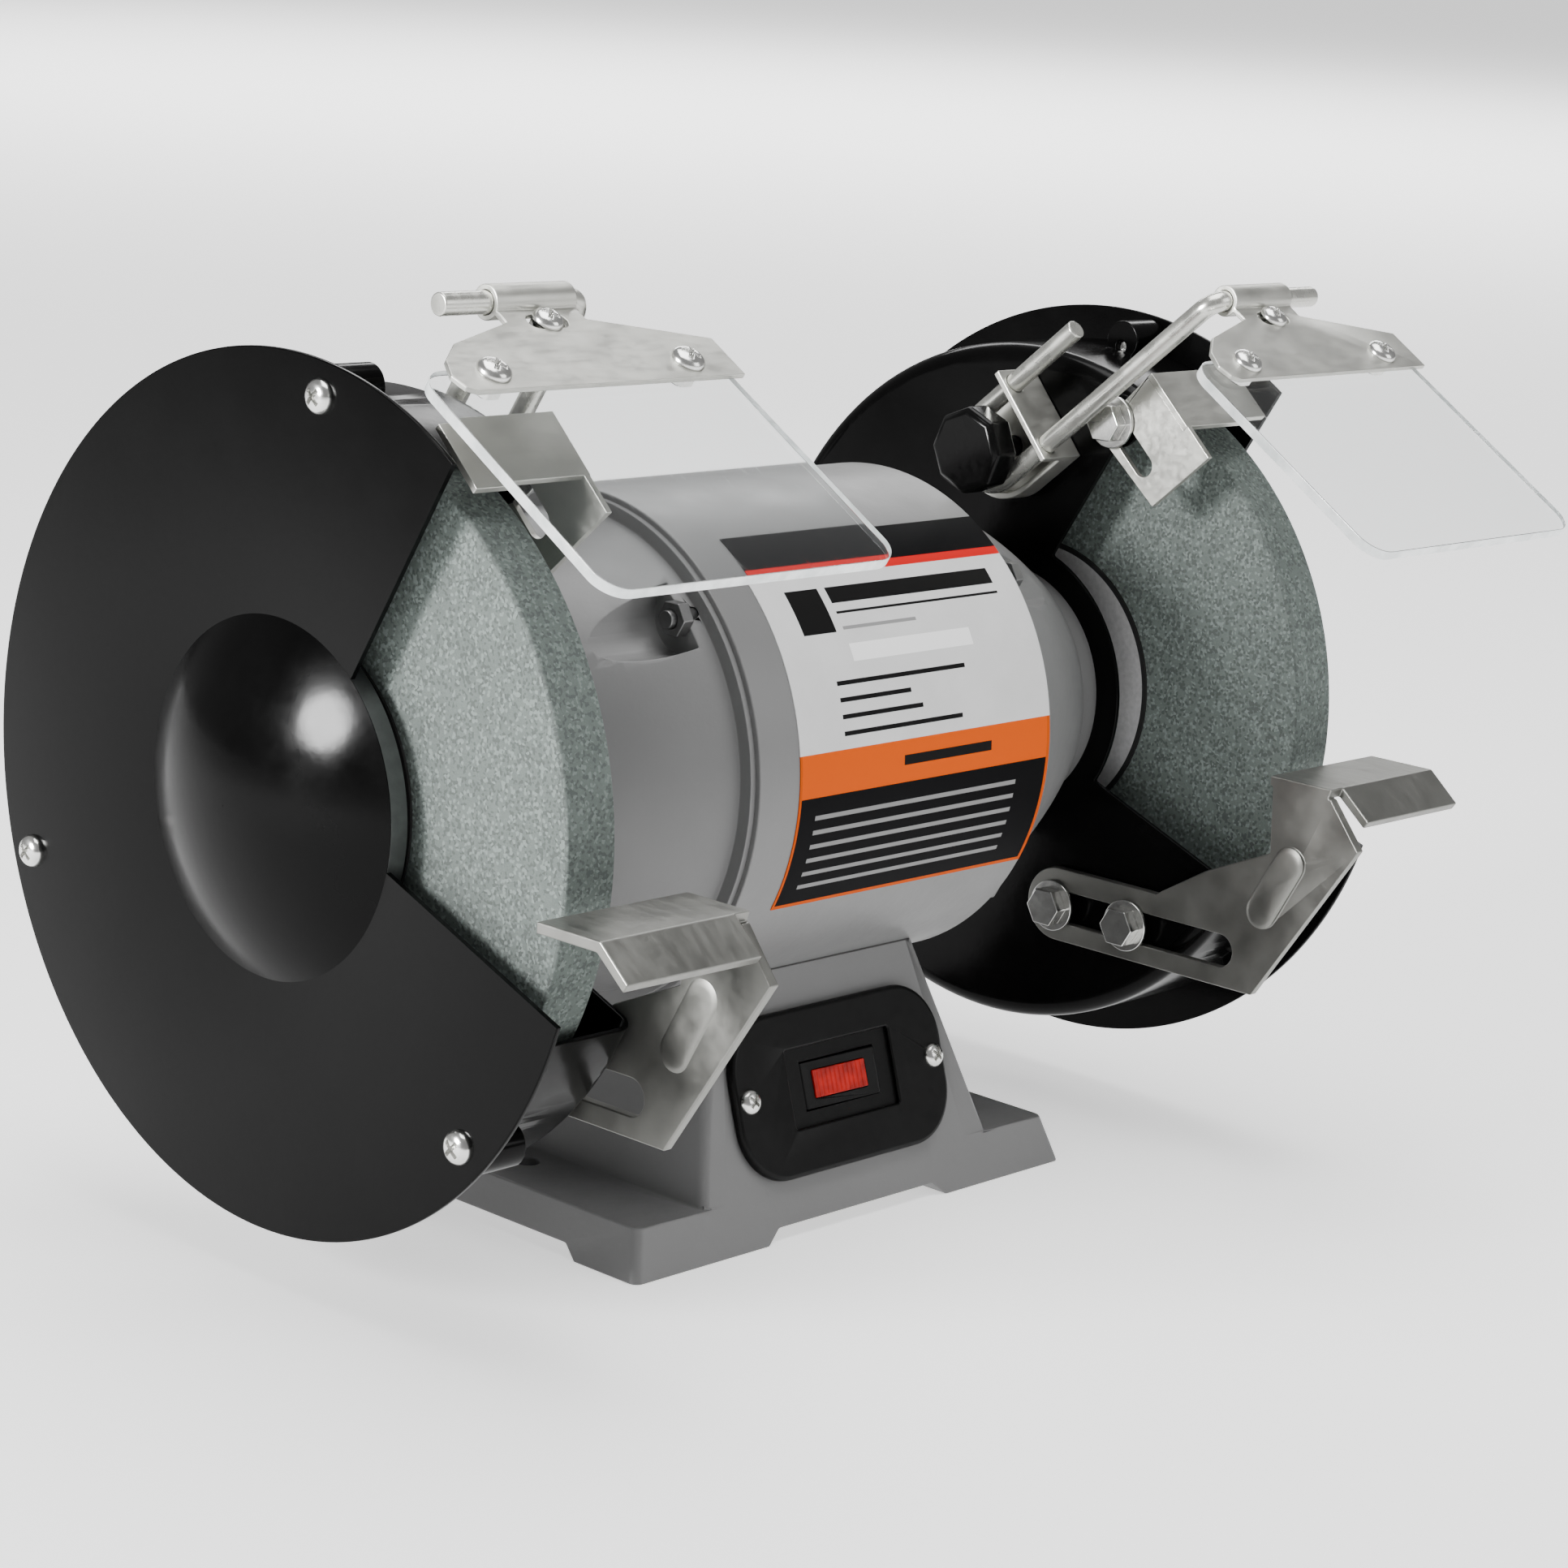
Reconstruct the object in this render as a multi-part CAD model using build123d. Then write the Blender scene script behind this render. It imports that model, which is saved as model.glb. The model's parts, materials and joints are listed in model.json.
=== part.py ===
from build123d import *

import math
import os

os.makedirs("parts", exist_ok=True)

# A two-wheel bench grinder, in millimetres. X runs along the spindle with +X to the right,
# -Y is the front and +Z is up. The origin is on the bench, midway between the two mounting holes.
# Places around the spindle are a radius and an angle in degrees above the front horizontal.

# Spindle and wheels
SPINDLE_HEIGHT = 132.0
WHEEL_RADIUS = 101.6
WHEEL_THICKNESS = 16.0
WHEEL_INNER_FACE = 141.7
WHEEL_OUTER_FACE = WHEEL_INNER_FACE + WHEEL_THICKNESS
ARBOR_RADIUS = 7.95
FLANGE_RADIUS = 34.0
BLOTTER_RADIUS = 44.5
BLOTTER_THICKNESS = 0.7
INNER_FLANGE_START = 131.0
OUTER_FLANGE_END = 166.0
NUT_END = 175.0
SPINDLE_END = 178.0

# Base casting
BASE_HALF_WIDTH = 90.0
BASE_HALF_DEPTH = 65.5
FRONT_SLOPE = 0.33
SLOPE_ANGLE = math.degrees(math.atan(FRONT_SLOPE))
FLANGE_HEIGHT = 14.0
FLANGE_TOP_HALF_WIDTH = 85.6
PEDESTAL_HALF_WIDTH = 60.0
SIDE_SLOPE = 0.3036
PEDESTAL_TOP = 90.0
ARCH_HEIGHT = 4.0
ARCH_HALF_X = 35.0
ARCH_HALF_Y = 38.5
MOUNT_HOLE_X = 70.0
MOUNT_HOLE_RADIUS = 3.5
MOUNT_BOSS_RADIUS = 8.0
COVER_PLATE_HALF = 55.0
COVER_PLATE_BOTTOM = 4.5
COVER_PLATE_TOP = 6.0
COVER_SCREW_PLACE = 47.0

# Switch, placed up the sloping front face
SWITCH_UP_SLOPE = 40.25
PLATE_WIDTH = 87.0
PLATE_HEIGHT = 47.0
PLATE_THICKNESS = 3.0
WELL_WIDTH = 43.5
WELL_HEIGHT = 22.5
WELL_DEPTH = 1.5
WELL_RISE = 1.0
ROCKER_WIDTH = 29.0
ROCKER_HEIGHT = 13.5
ROCKER_TILT = 7.0
ROCKER_PIVOT_DEPTH = 3.0

# Motor
BARREL_RADIUS = 73.0
BARREL_WALL = 3.0
BARREL_HALF_LENGTH = 60.5
STATOR_BORE = 32.0
STATOR_HALF_LENGTH = 30.0
WINDING_END = 46.0
ROTOR_RADIUS = 31.6
THROUGH_BOLT_PLACE = 65.0
THROUGH_BOLT_RADIUS = 2.5
BOLT_POCKET_RADIUS = 10.0
BOLT_POCKET_FLOOR = 66.5
BEARING_START = 108.0
BEARING_END = 120.0
BEARING_OUTER_RADIUS = 20.0
JOURNAL_RADIUS = 8.5
RUNNING_CLEARANCE = 0.03
LABEL_THICKNESS = 0.25
LABEL_START_ANGLE = -27.5
LABEL_SWEEP = 87.0

# Wheel guards
SHEET = 1.5
GUARD_FACE = 125.0
GUARD_RADIUS = 106.0
GUARD_SHOULDER = 5.5
GUARD_RIM_END = 166.5
COVER_RADIUS = 116.5
COVER_FACE = GUARD_RIM_END + SHEET
DOME_RADIUS = 48.0
DOME_HEIGHT = 15.0
DOME_RIM_DEPTH = 6.0
OPENING_ANGLE = 19.2
OPENING_HALF_ANGLE = 40.4
OPENING_APEX = 12.0
HUB_DISC_RADIUS = 46.0
COVER_SCREW_RADIUS = 107.4
COVER_SCREW_ANGLES = (OPENING_ANGLE + 62.5, OPENING_ANGLE - 62.5, OPENING_ANGLE + 180.0)
COVER_LUG_START = 152.0
GUARD_SCREW_PLACE = 30.0
GUARD_SCREW_ANGLES = (45.0, 135.0, 225.0, 315.0)

# Bolts through the guard plate: places are (Y, Z)
BOLT_RADIUS = 3.0
BOLT_HOLE = 3.1
REST_BOLTS = ((-30.0, 67.5), (-59.0, 67.5))
ARRESTOR_BOLT = (-38.0, 219.5)
ARM_PIVOT = (0.0, 207.0)

# Tool rest: sheet lies just inside the guard plate
REST_SHEET = 3.0
REST_FACE = 121.7
REST_OUTER = 173.0
REST_TOP = 124.0
REST_REAR = -107.5
REST_BEND = -129.5
REST_LIP_END = -139.5
REST_LIP_DROP = 8.5

# Spark arrestor
ARRESTOR_SHEET = 2.0
ARRESTOR_FACE = 122.7
ARRESTOR_REACH = 160.0
ARRESTOR_CORNERS = ((-51.0, 235.8), (-74.5, 213.5), (-55.0, 196.1), (-31.2, 216.1))
SLIDE_Y = 0.725
SLIDE_Z = 0.688

# Eye shield arm: a wire of two legs, held in a bracket that swings about the knob's stud
WIRE_RADIUS = 3.0
WIRE_PLANE = 112.0
LEG_OFFSET = 11.0
ARM_REACH = 95.0
SHORT_LEG = 48.5
ARM_BEND_RADIUS = 5.0
ROD_END = 160.0
RIGHT_ARM_ANGLE = 40.6
LEFT_ARM_ANGLE = 58.0
LEFT_RETRACTION = 20.0
WEB_PLACE = 18.0
WEB_HALF = 16.0
KNOB_RADIUS = 13.5
KNOB_START = 98.5
KNOB_END = 108.2

# Eye shield and its bracket: a flat pair that hangs forward and down from the rod
BRACKET_SHEET = 1.5
CURL_INNER = WIRE_RADIUS + 0.08
CURL_OUTER = CURL_INNER + BRACKET_SHEET
CURL_START = 117.5
CURL_END = 144.5
ROD_UP_SLOPE = 34.0
SHIELD_THICKNESS = 3.0
SHIELD_LEFT = 78.0
SHIELD_RIGHT = 178.0
SHIELD_TOP = 10.0
SHIELD_BOTTOM = -71.0
SHIELD_SCREWS = (99.5, 165.5)
SHIELD_SCREW_RISE = 6.7
BRACKET_SLOT = (131, -9.2)
RIGHT_SHIELD_SLOPE = 33.0
LEFT_SHIELD_SLOPE = 31.0
SHIELD_PITCH = 262.0

# Planes and places


def facing_x(distance):
    """Plane square to the spindle at this X, with Y and Z as its own axes."""
    return Plane(origin=(distance, 0, 0), x_dir=(0, 1, 0), z_dir=(1, 0, 0))


def around(radius, angle):
    """(Y, Z) at this radius and angle above the front horizontal, about the spindle."""
    turn = math.radians(angle)
    return -radius * math.cos(turn), SPINDLE_HEIGHT + radius * math.sin(turn)


def slope_plane():
    """Plane on the base's front face at the switch: own X across, own Y up the slope."""
    tilt = math.radians(SLOPE_ANGLE)
    rise = SWITCH_UP_SLOPE * math.cos(tilt)
    origin = (0, -BASE_HALF_DEPTH + FRONT_SLOPE * rise, rise)
    return Plane(origin=origin, x_dir=(1, 0, 0), z_dir=(0, -math.cos(tilt), math.sin(tilt)))


def arm_point(angle, along, up):
    """(Y, Z) in an arm's own directions: along its legs, and up square to them."""
    turn = math.radians(angle)
    y = ARM_PIVOT[0] - along * math.cos(turn) + up * math.sin(turn)
    z = ARM_PIVOT[1] + along * math.sin(turn) + up * math.cos(turn)
    return y, z


# Shapes used over and over


def turned(points):
    """Solid of revolution about the spindle, from (X, radius) points."""
    outline = make_face(Polyline(*points, close=True))
    return Pos(0, 0, SPINDLE_HEIGHT) * revolve(outline, Axis.X)


def bar(radius, start, end, place):
    """Round bar along X from start to end, centred on a (Y, Z) place."""
    return extrude(facing_x(start) * Pos(*place) * Circle(radius), amount=end - start)


def hexagon_bar(radius, start, end, place):
    """Hexagonal bar along X, its radius taken to the corners."""
    return extrude(facing_x(start) * Pos(*place) * RegularPolygon(radius, 6), amount=end - start)


def sheet_x(points, start, end):
    """Sheet square to the spindle, from (Y, Z) points."""
    outline = make_face(Polyline(*points, close=True))
    return extrude(facing_x(start) * outline, amount=end - start)


def slot_between(first, second, radius):
    """Rounded slot outline between two points."""
    (x1, y1), (x2, y2) = first, second
    length = math.hypot(x2 - x1, y2 - y1)
    turn = math.degrees(math.atan2(y2 - y1, x2 - x1))
    return Pos((x1 + x2) / 2, (y1 + y2) / 2) * Rot(Z=turn) * SlotCenterToCenter(length, 2 * radius)


def mirrored(shape):
    """The other side's copy."""
    return mirror(shape, about=Plane.YZ)


def pan_head(radius, height):
    """Domed screw head standing on its own XY plane."""
    return extrude(Circle(radius), amount=height * 0.45) + extrude(
        Pos(0, 0, height * 0.45) * Circle(radius), amount=height * 0.55, taper=35
    )


def bolt_with_nut(place, under_head, washer, nut_start):
    """Hex bolt from the motor side, with a washer under its head and a nut behind the guard."""
    head = hexagon_bar(6.2, under_head - 4.2, under_head, place)
    shank = bar(BOLT_RADIUS, under_head, nut_start + 6, place)
    washer_ring = bar(8.0, under_head, under_head + washer, place) - bar(
        BOLT_RADIUS, under_head, under_head + washer, place
    )
    nut = hexagon_bar(5.0, nut_start, nut_start + 4.5, place) - bar(
        BOLT_RADIUS, nut_start, nut_start + 4.5, place
    )
    return [head + shank, washer_ring, nut]


# Base


def loft_block(low, low_half_x, low_half_y, high, high_half_x, high_half_y, corner):
    """Tapered block between two rounded rectangles."""
    bottom = Pos(0, 0, low) * RectangleRounded(2 * low_half_x, 2 * low_half_y, corner)
    top = Pos(0, 0, high) * RectangleRounded(2 * high_half_x, 2 * high_half_y, corner)
    return loft([bottom, top])


def pedestal_half(height):
    """Half width and half depth of the pedestal at a height."""
    across = PEDESTAL_HALF_WIDTH - SIDE_SLOPE * (height - FLANGE_HEIGHT)
    return across, BASE_HALF_DEPTH - FRONT_SLOPE * height


def base_casting():
    """Hollow cast base: a footed flange, and a tapered pedestal that cradles the motor."""
    flange = loft_block(
        0, BASE_HALF_WIDTH, BASE_HALF_DEPTH,
        FLANGE_HEIGHT, FLANGE_TOP_HALF_WIDTH, BASE_HALF_DEPTH - FRONT_SLOPE * FLANGE_HEIGHT, 3,
    )
    pedestal = loft_block(
        FLANGE_HEIGHT - 6, *pedestal_half(FLANGE_HEIGHT - 6), PEDESTAL_TOP, *pedestal_half(PEDESTAL_TOP), 3
    )
    saddle = bar(BARREL_RADIUS, -BARREL_HALF_LENGTH - 5, BARREL_HALF_LENGTH + 5, (0, SPINDLE_HEIGHT))
    cavity = loft_block(COVER_PLATE_TOP, 52, 52, 52, 43, 41.5, 6)
    for x in (-COVER_SCREW_PLACE, COVER_SCREW_PLACE):
        for y in (-COVER_SCREW_PLACE, COVER_SCREW_PLACE):
            cavity -= Pos(x, y, 12) * Cylinder(6, 16)
    body = flange + pedestal - saddle - cavity
    body -= Pos(0, 0, COVER_PLATE_TOP / 2 - 1) * Box(
        2 * COVER_PLATE_HALF + 1, 2 * COVER_PLATE_HALF + 1, COVER_PLATE_TOP + 2
    )
    for half, plane, reach in (
        (ARCH_HALF_X, Plane.XZ, BASE_HALF_DEPTH),
        (ARCH_HALF_Y, facing_x(0), BASE_HALF_WIDTH),
    ):
        arch = Polyline(
            (-half - 3.5, -1), (-half - 2.5, 0), (-half + 2.5, ARCH_HEIGHT),
            (half - 2.5, ARCH_HEIGHT), (half + 2.5, 0), (half + 3.5, -1), close=True,
        )
        body -= extrude(plane * make_face(arch), amount=reach + 1, both=True)
    for side in (-1, 1):
        body += Pos(side * MOUNT_HOLE_X, 0, (ARCH_HEIGHT + 1) / 2) * Cylinder(MOUNT_BOSS_RADIUS, ARCH_HEIGHT + 1)
        body -= Pos(side * MOUNT_HOLE_X, 0, 8) * Cylinder(MOUNT_HOLE_RADIUS, 20)
        for other in (-1, 1):
            body -= Pos(side * COVER_SCREW_PLACE, other * COVER_SCREW_PLACE, 10) * Cylinder(1.9, 12)
    front = slope_plane()
    body -= front * Pos(0, WELL_RISE, -8) * Box(WELL_WIDTH + 0.5, WELL_HEIGHT, 30)
    for side in (-1, 1):
        body -= front * Pos(side * 38.5, 0.75, -3) * Cylinder(1.7, 10)
    body -= gland_plane() * Pos(0, 0, -4) * Cylinder(7, 24)
    body -= Pos(0, 0, 56) * Cylinder(6, 12)
    return body


def base_cover_plate():
    """Steel plate that closes the base from below."""
    size = 2 * COVER_PLATE_HALF
    plate = Pos(0, 0, (COVER_PLATE_BOTTOM + COVER_PLATE_TOP) / 2) * Box(
        size, size, COVER_PLATE_TOP - COVER_PLATE_BOTTOM
    )
    for x in (-COVER_SCREW_PLACE, COVER_SCREW_PLACE):
        for y in (-COVER_SCREW_PLACE, COVER_SCREW_PLACE):
            plate -= Pos(x, y, 5) * Cylinder(1.9, 6)
    return plate


def base_cover_screws():
    """Four screws up into the base's corner bosses."""
    screws = []
    for x in (-COVER_SCREW_PLACE, COVER_SCREW_PLACE):
        for y in (-COVER_SCREW_PLACE, COVER_SCREW_PLACE):
            head = Pos(x, y, COVER_PLATE_BOTTOM - 1) * Cylinder(3.6, 2)
            shank = Pos(x, y, COVER_PLATE_BOTTOM + 4.5) * Cylinder(1.9, 9)
            screws.append(head + shank)
    return Compound(children=screws)


def gland_plane():
    """Plane on the base's rear slope, where the supply cord's gland sits."""
    tilt = math.radians(SLOPE_ANGLE)
    rise = 30.0
    origin = (0, BASE_HALF_DEPTH - FRONT_SLOPE * rise, rise)
    return Plane(origin=origin, x_dir=(-1, 0, 0), z_dir=(0, math.cos(tilt), math.sin(tilt)))


def cord_gland():
    """Open bush for the supply cord, pressed into the base's rear wall."""
    bush = Pos(0, 0, -5) * Cylinder(7, 10) + Pos(0, 0, 1.5) * Cylinder(10, 3)
    bush += Pos(0, 0, 3) * Cone(8, 6, 8, align=(Align.CENTER, Align.CENTER, Align.MIN))
    return gland_plane() * (bush - Cylinder(3.8, 40))


# Switch


def switch_plate():
    """Face plate with a shallow window round the rocker."""
    plate = extrude(RectangleRounded(PLATE_WIDTH, PLATE_HEIGHT, 17), amount=PLATE_THICKNESS)
    plate = chamfer(plate.faces().sort_by(Axis.Z)[-1].edges(), 0.8)
    plate -= Pos(0, WELL_RISE, 1) * Box(WELL_WIDTH, WELL_HEIGHT, 8)
    plate -= Pos(0, WELL_RISE, 0) * Box(WELL_WIDTH + 5, WELL_HEIGHT + 5, 2 * WELL_DEPTH)
    for side in (-1, 1):
        plate -= Pos(side * 38.5, 0.75, 2) * Cylinder(1.7, 8)
    return slope_plane() * plate


def switch_plate_screws():
    """Two pan-head screws through the face plate."""
    screws = []
    for side in (-1, 1):
        head = Pos(side * 38.5, 0.75, PLATE_THICKNESS) * pan_head(3.6, 2.2)
        shank = Pos(side * 38.5, 0.75, -2) * Cylinder(1.7, 10)
        screws.append(slope_plane() * (head + shank))
    return Compound(children=screws)


def switch_body():
    """Switch housing behind the plate, with a pocket that the rocker swings in."""
    rim = extrude(Rectangle(WELL_WIDTH + 4.6, WELL_HEIGHT + 4.6), amount=WELL_DEPTH)
    box = Pos(0, 0, -11) * Box(WELL_WIDTH - 0.6, WELL_HEIGHT - 0.6, 22)
    body = rim + box - Pos(0, 0, -4) * Box(ROCKER_WIDTH + 2, ROCKER_HEIGHT + 0.8, 15)
    pivot = Pos(0, 0, -ROCKER_PIVOT_DEPTH) * Rot(X=90) * Cylinder(1.25, ROCKER_HEIGHT + 3.4)
    return slope_plane() * Pos(0, WELL_RISE, 0) * (body - pivot)


def at_rocker(shape):
    """Places a rocker piece, drawn level, at its resting tilt about the pivot."""
    swing = Pos(0, 0, -ROCKER_PIVOT_DEPTH) * Rot(Y=-ROCKER_TILT) * Pos(0, 0, ROCKER_PIVOT_DEPTH)
    return slope_plane() * Pos(0, WELL_RISE, 0) * swing * shape


def rocker():
    """Rocking cap with its two pivot pins."""
    cap = Pos(0, 0, -0.9) * Box(ROCKER_WIDTH, ROCKER_HEIGHT, 6.2)
    cap = chamfer(cap.edges().filter_by(Axis.Y), 0.8)
    cap -= Pos(0, 0, 2.2) * Box(19.5, 8, 2)
    pins = Pos(0, 0, -ROCKER_PIVOT_DEPTH) * Rot(X=90) * Cylinder(1.2, ROCKER_HEIGHT + 3)
    return at_rocker(cap + pins)


def rocker_lens():
    """Red lamp window let into the rocker."""
    return at_rocker(Pos(0, 0, 1.85) * Box(19.5, 8, 1.3))


def capacitor_centre():
    """(Y, Z) of the capacitor inside the base."""
    return 14.0, COVER_PLATE_TOP + 18.8


def start_capacitor():
    """Start capacitor lying in the base."""
    can = bar(17, -35, 31, capacitor_centre())
    cap = bar(14, 31, 36, capacitor_centre())
    return can + cap


def capacitor_clip():
    """Strap that holds the capacitor down on the base's cover plate."""
    y, _ = capacitor_centre()
    ring = bar(18, -6, 6, capacitor_centre())
    foot = Pos(0, y, COVER_PLATE_TOP + 0.6) * Box(12, 54, 1.2)
    return ring + foot - bar(17, -7, 7, capacitor_centre())


# Motor


def motor_barrel():
    """Rolled steel shell of the motor."""
    inner = BARREL_RADIUS - BARREL_WALL
    end = BARREL_HALF_LENGTH
    shell = turned([(-end, inner), (-end, BARREL_RADIUS), (end, BARREL_RADIUS), (end, inner)])
    return shell - Pos(0, 0, SPINDLE_HEIGHT - BARREL_RADIUS) * Cylinder(6, 16)


def rating_label():
    """Blank, thin sheet wrapped on the front of the barrel."""
    profile = make_face(Polyline(
        (-45, BARREL_RADIUS), (-45, BARREL_RADIUS + LABEL_THICKNESS),
        (59.8, BARREL_RADIUS + LABEL_THICKNESS), (59.8, BARREL_RADIUS), close=True,
    ))
    turn = 180 - LABEL_START_ANGLE - LABEL_SWEEP
    return Pos(0, 0, SPINDLE_HEIGHT) * Rot(X=turn) * revolve(profile, Axis.X, LABEL_SWEEP)


def stator_core():
    """Laminated ring inside the barrel, drilled for the through bolts."""
    outer = BARREL_RADIUS - BARREL_WALL
    end = STATOR_HALF_LENGTH
    core = turned([(-end, STATOR_BORE), (-end, outer), (end, outer), (end, STATOR_BORE)])
    for angle in GUARD_SCREW_ANGLES:
        core -= bar(THROUGH_BOLT_RADIUS + 0.25, -end - 1, end + 1, around(THROUGH_BOLT_PLACE, angle))
    return core


def stator_windings():
    """Bundled copper end turns on both ends of the stator."""
    start = STATOR_HALF_LENGTH
    coil = turned([
        (start, 37), (start, 60), (WINDING_END - 5, 60), (WINDING_END, 55), (WINDING_END, 42),
        (WINDING_END - 5, 37),
    ])
    return Compound(children=[coil, mirrored(coil)])


def end_bell():
    """Cast end bell: a tapered cup with pockets for the through bolts and a seat for the bearing."""
    inner = BARREL_RADIUS - BARREL_WALL
    end = BARREL_HALF_LENGTH
    taper = ThreePointArc((end + 2, 67.5), (88.5, 57.0), (110, 45))
    outer_line = Polyline((end, 0), (end, inner + 1.5), (end + 2, inner + 1.5), (end + 2, 67.5))
    hub_line = Polyline((110, 45), (113, 39.5), (GUARD_FACE, 38), (GUARD_FACE, 0), (end, 0))
    cup = Pos(0, 0, SPINDLE_HEIGHT) * revolve(make_face(outer_line + taper + hub_line), Axis.X)
    cavity = turned([(end - 1, 0), (end - 1, 63), (end + 2, 63), (103, 40), (103, 0)])
    for angle in GUARD_SCREW_ANGLES:
        cavity -= bar(BOLT_POCKET_RADIUS + 3, end + 2, 104, around(THROUGH_BOLT_PLACE, angle))
    bell = cup - cavity
    bell -= turned([(102, 0), (102, BEARING_OUTER_RADIUS), (BEARING_END, BEARING_OUTER_RADIUS), (BEARING_END, 0)])
    bell -= bar(11, BEARING_END - 1, GUARD_FACE + 1, (0, SPINDLE_HEIGHT))
    bell += turned([(end - 5.5, 68), (end - 5.5, inner), (end + 1, inner), (end + 1, 68)])
    for angle in GUARD_SCREW_ANGLES:
        place = around(THROUGH_BOLT_PLACE, angle)
        bell -= bar(BOLT_POCKET_RADIUS, BOLT_POCKET_FLOOR, GUARD_FACE - 1, place)
        bell -= bar(THROUGH_BOLT_RADIUS + 0.25, end - 7, BOLT_POCKET_FLOOR + 1, place)
        bell -= bar(2.5, GUARD_FACE - 14, GUARD_FACE + 1, around(GUARD_SCREW_PLACE, angle))
    return bell


def through_bolts():
    """Four long bolts that clamp both end bells onto the barrel, with their nuts."""
    pieces = []
    for angle in GUARD_SCREW_ANGLES:
        place = around(THROUGH_BOLT_PLACE, angle)
        head = hexagon_bar(5.2, BOLT_POCKET_FLOOR, BOLT_POCKET_FLOOR + 3.5, place)
        shank = bar(THROUGH_BOLT_RADIUS, -BOLT_POCKET_FLOOR - 6, BOLT_POCKET_FLOOR, place)
        nut = hexagon_bar(5.2, -BOLT_POCKET_FLOOR - 4, -BOLT_POCKET_FLOOR, place)
        pieces.append(head + shank)
        pieces.append(nut - bar(THROUGH_BOLT_RADIUS, -BOLT_POCKET_FLOOR - 5, -BOLT_POCKET_FLOOR + 1, place))
    return Compound(children=pieces)


def bearing():
    """Sealed ball bearing, drawn as one ring with its seal grooves."""
    bore = JOURNAL_RADIUS + RUNNING_CLEARANCE
    outer = BEARING_OUTER_RADIUS
    start, end = BEARING_START, BEARING_END
    return turned([
        (start, bore), (start, 11), (start + 0.8, 11.5), (start + 0.8, 16.5), (start, 17),
        (start, outer), (end, outer), (end, 17), (end - 0.8, 16.5), (end - 0.8, 11.5), (end, 11),
        (end, bore),
    ])


# Spindle and what turns with it


def spindle():
    """Stepped steel shaft with an arbor at each end."""
    half = [
        (STATOR_HALF_LENGTH + 4, 12), (STATOR_HALF_LENGTH + 4, 10), (BEARING_START - 0.5, 10),
        (BEARING_START - 0.5, JOURNAL_RADIUS), (INNER_FLANGE_START, JOURNAL_RADIUS),
        (INNER_FLANGE_START, ARBOR_RADIUS), (SPINDLE_END - 1, ARBOR_RADIUS),
        (SPINDLE_END, ARBOR_RADIUS - 1), (SPINDLE_END, 0),
    ]
    other = [(-x, r) for x, r in reversed(half)]
    return turned(other + half)


def rotor_core():
    """Squirrel-cage rotor pressed on the spindle."""
    end = STATOR_HALF_LENGTH
    return turned([
        (-end, 12), (-end, 20), (-end - 4, 20), (-end - 4, 30), (-end, 30), (-end, ROTOR_RADIUS),
        (end, ROTOR_RADIUS), (end, 30), (end + 4, 30), (end + 4, 20), (end, 20), (end, 12),
    ])


def inner_flange():
    """Dished washer that backs the wheel."""
    start = INNER_FLANGE_START
    end = WHEEL_INNER_FACE - BLOTTER_THICKNESS
    return turned([
        (start, ARBOR_RADIUS), (start, 18), (start + 3, 20), (end - 5, FLANGE_RADIUS - 2),
        (end - 3, FLANGE_RADIUS), (end, FLANGE_RADIUS), (end, 24), (end - 1.5, 22), (end - 1.5, ARBOR_RADIUS),
    ])


def blotters():
    """Card washers on both faces of the wheel."""
    rings = []
    for start in (WHEEL_INNER_FACE - BLOTTER_THICKNESS, WHEEL_OUTER_FACE):
        end = start + BLOTTER_THICKNESS
        rings.append(turned([
            (start, ARBOR_RADIUS), (start, BLOTTER_RADIUS), (end, BLOTTER_RADIUS), (end, ARBOR_RADIUS)
        ]))
    return Compound(children=rings)


def grinding_wheel():
    """Bonded abrasive wheel."""
    inner, outer = WHEEL_INNER_FACE, WHEEL_OUTER_FACE
    return turned([
        (inner, ARBOR_RADIUS), (inner, WHEEL_RADIUS - 0.6), (inner + 0.6, WHEEL_RADIUS),
        (outer - 0.6, WHEEL_RADIUS), (outer, WHEEL_RADIUS - 0.6), (outer, ARBOR_RADIUS),
    ])


def outer_flange():
    """Dished washer that the nut clamps on the wheel."""
    start = WHEEL_OUTER_FACE + BLOTTER_THICKNESS
    end = OUTER_FLANGE_END
    return turned([
        (start, 24), (start, FLANGE_RADIUS), (start + 2, FLANGE_RADIUS), (end - 2, 20), (end, 18),
        (end, ARBOR_RADIUS), (start + 1.5, ARBOR_RADIUS), (start + 1.5, 22),
    ])


def spindle_nut():
    """Hex nut on the arbor."""
    place = (0, SPINDLE_HEIGHT)
    nut = hexagon_bar(13.5, OUTER_FLANGE_END, NUT_END, place)
    return nut - bar(ARBOR_RADIUS, OUTER_FLANGE_END - 1, NUT_END + 1, place)


# Wheel guard


def opening_wedge():
    """Prism of the guard's front opening, its sides straight and its apex behind the spindle."""
    back = around(-OPENING_APEX, OPENING_ANGLE)
    sides = []
    for angle in (OPENING_ANGLE - OPENING_HALF_ANGLE, OPENING_ANGLE + OPENING_HALF_ANGLE):
        y, z = around(250, angle)
        sides.append((y + back[0], z + back[1] - SPINDLE_HEIGHT))
    return sheet_x([back, *sides], GUARD_FACE - 10, COVER_FACE + 20)


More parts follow.
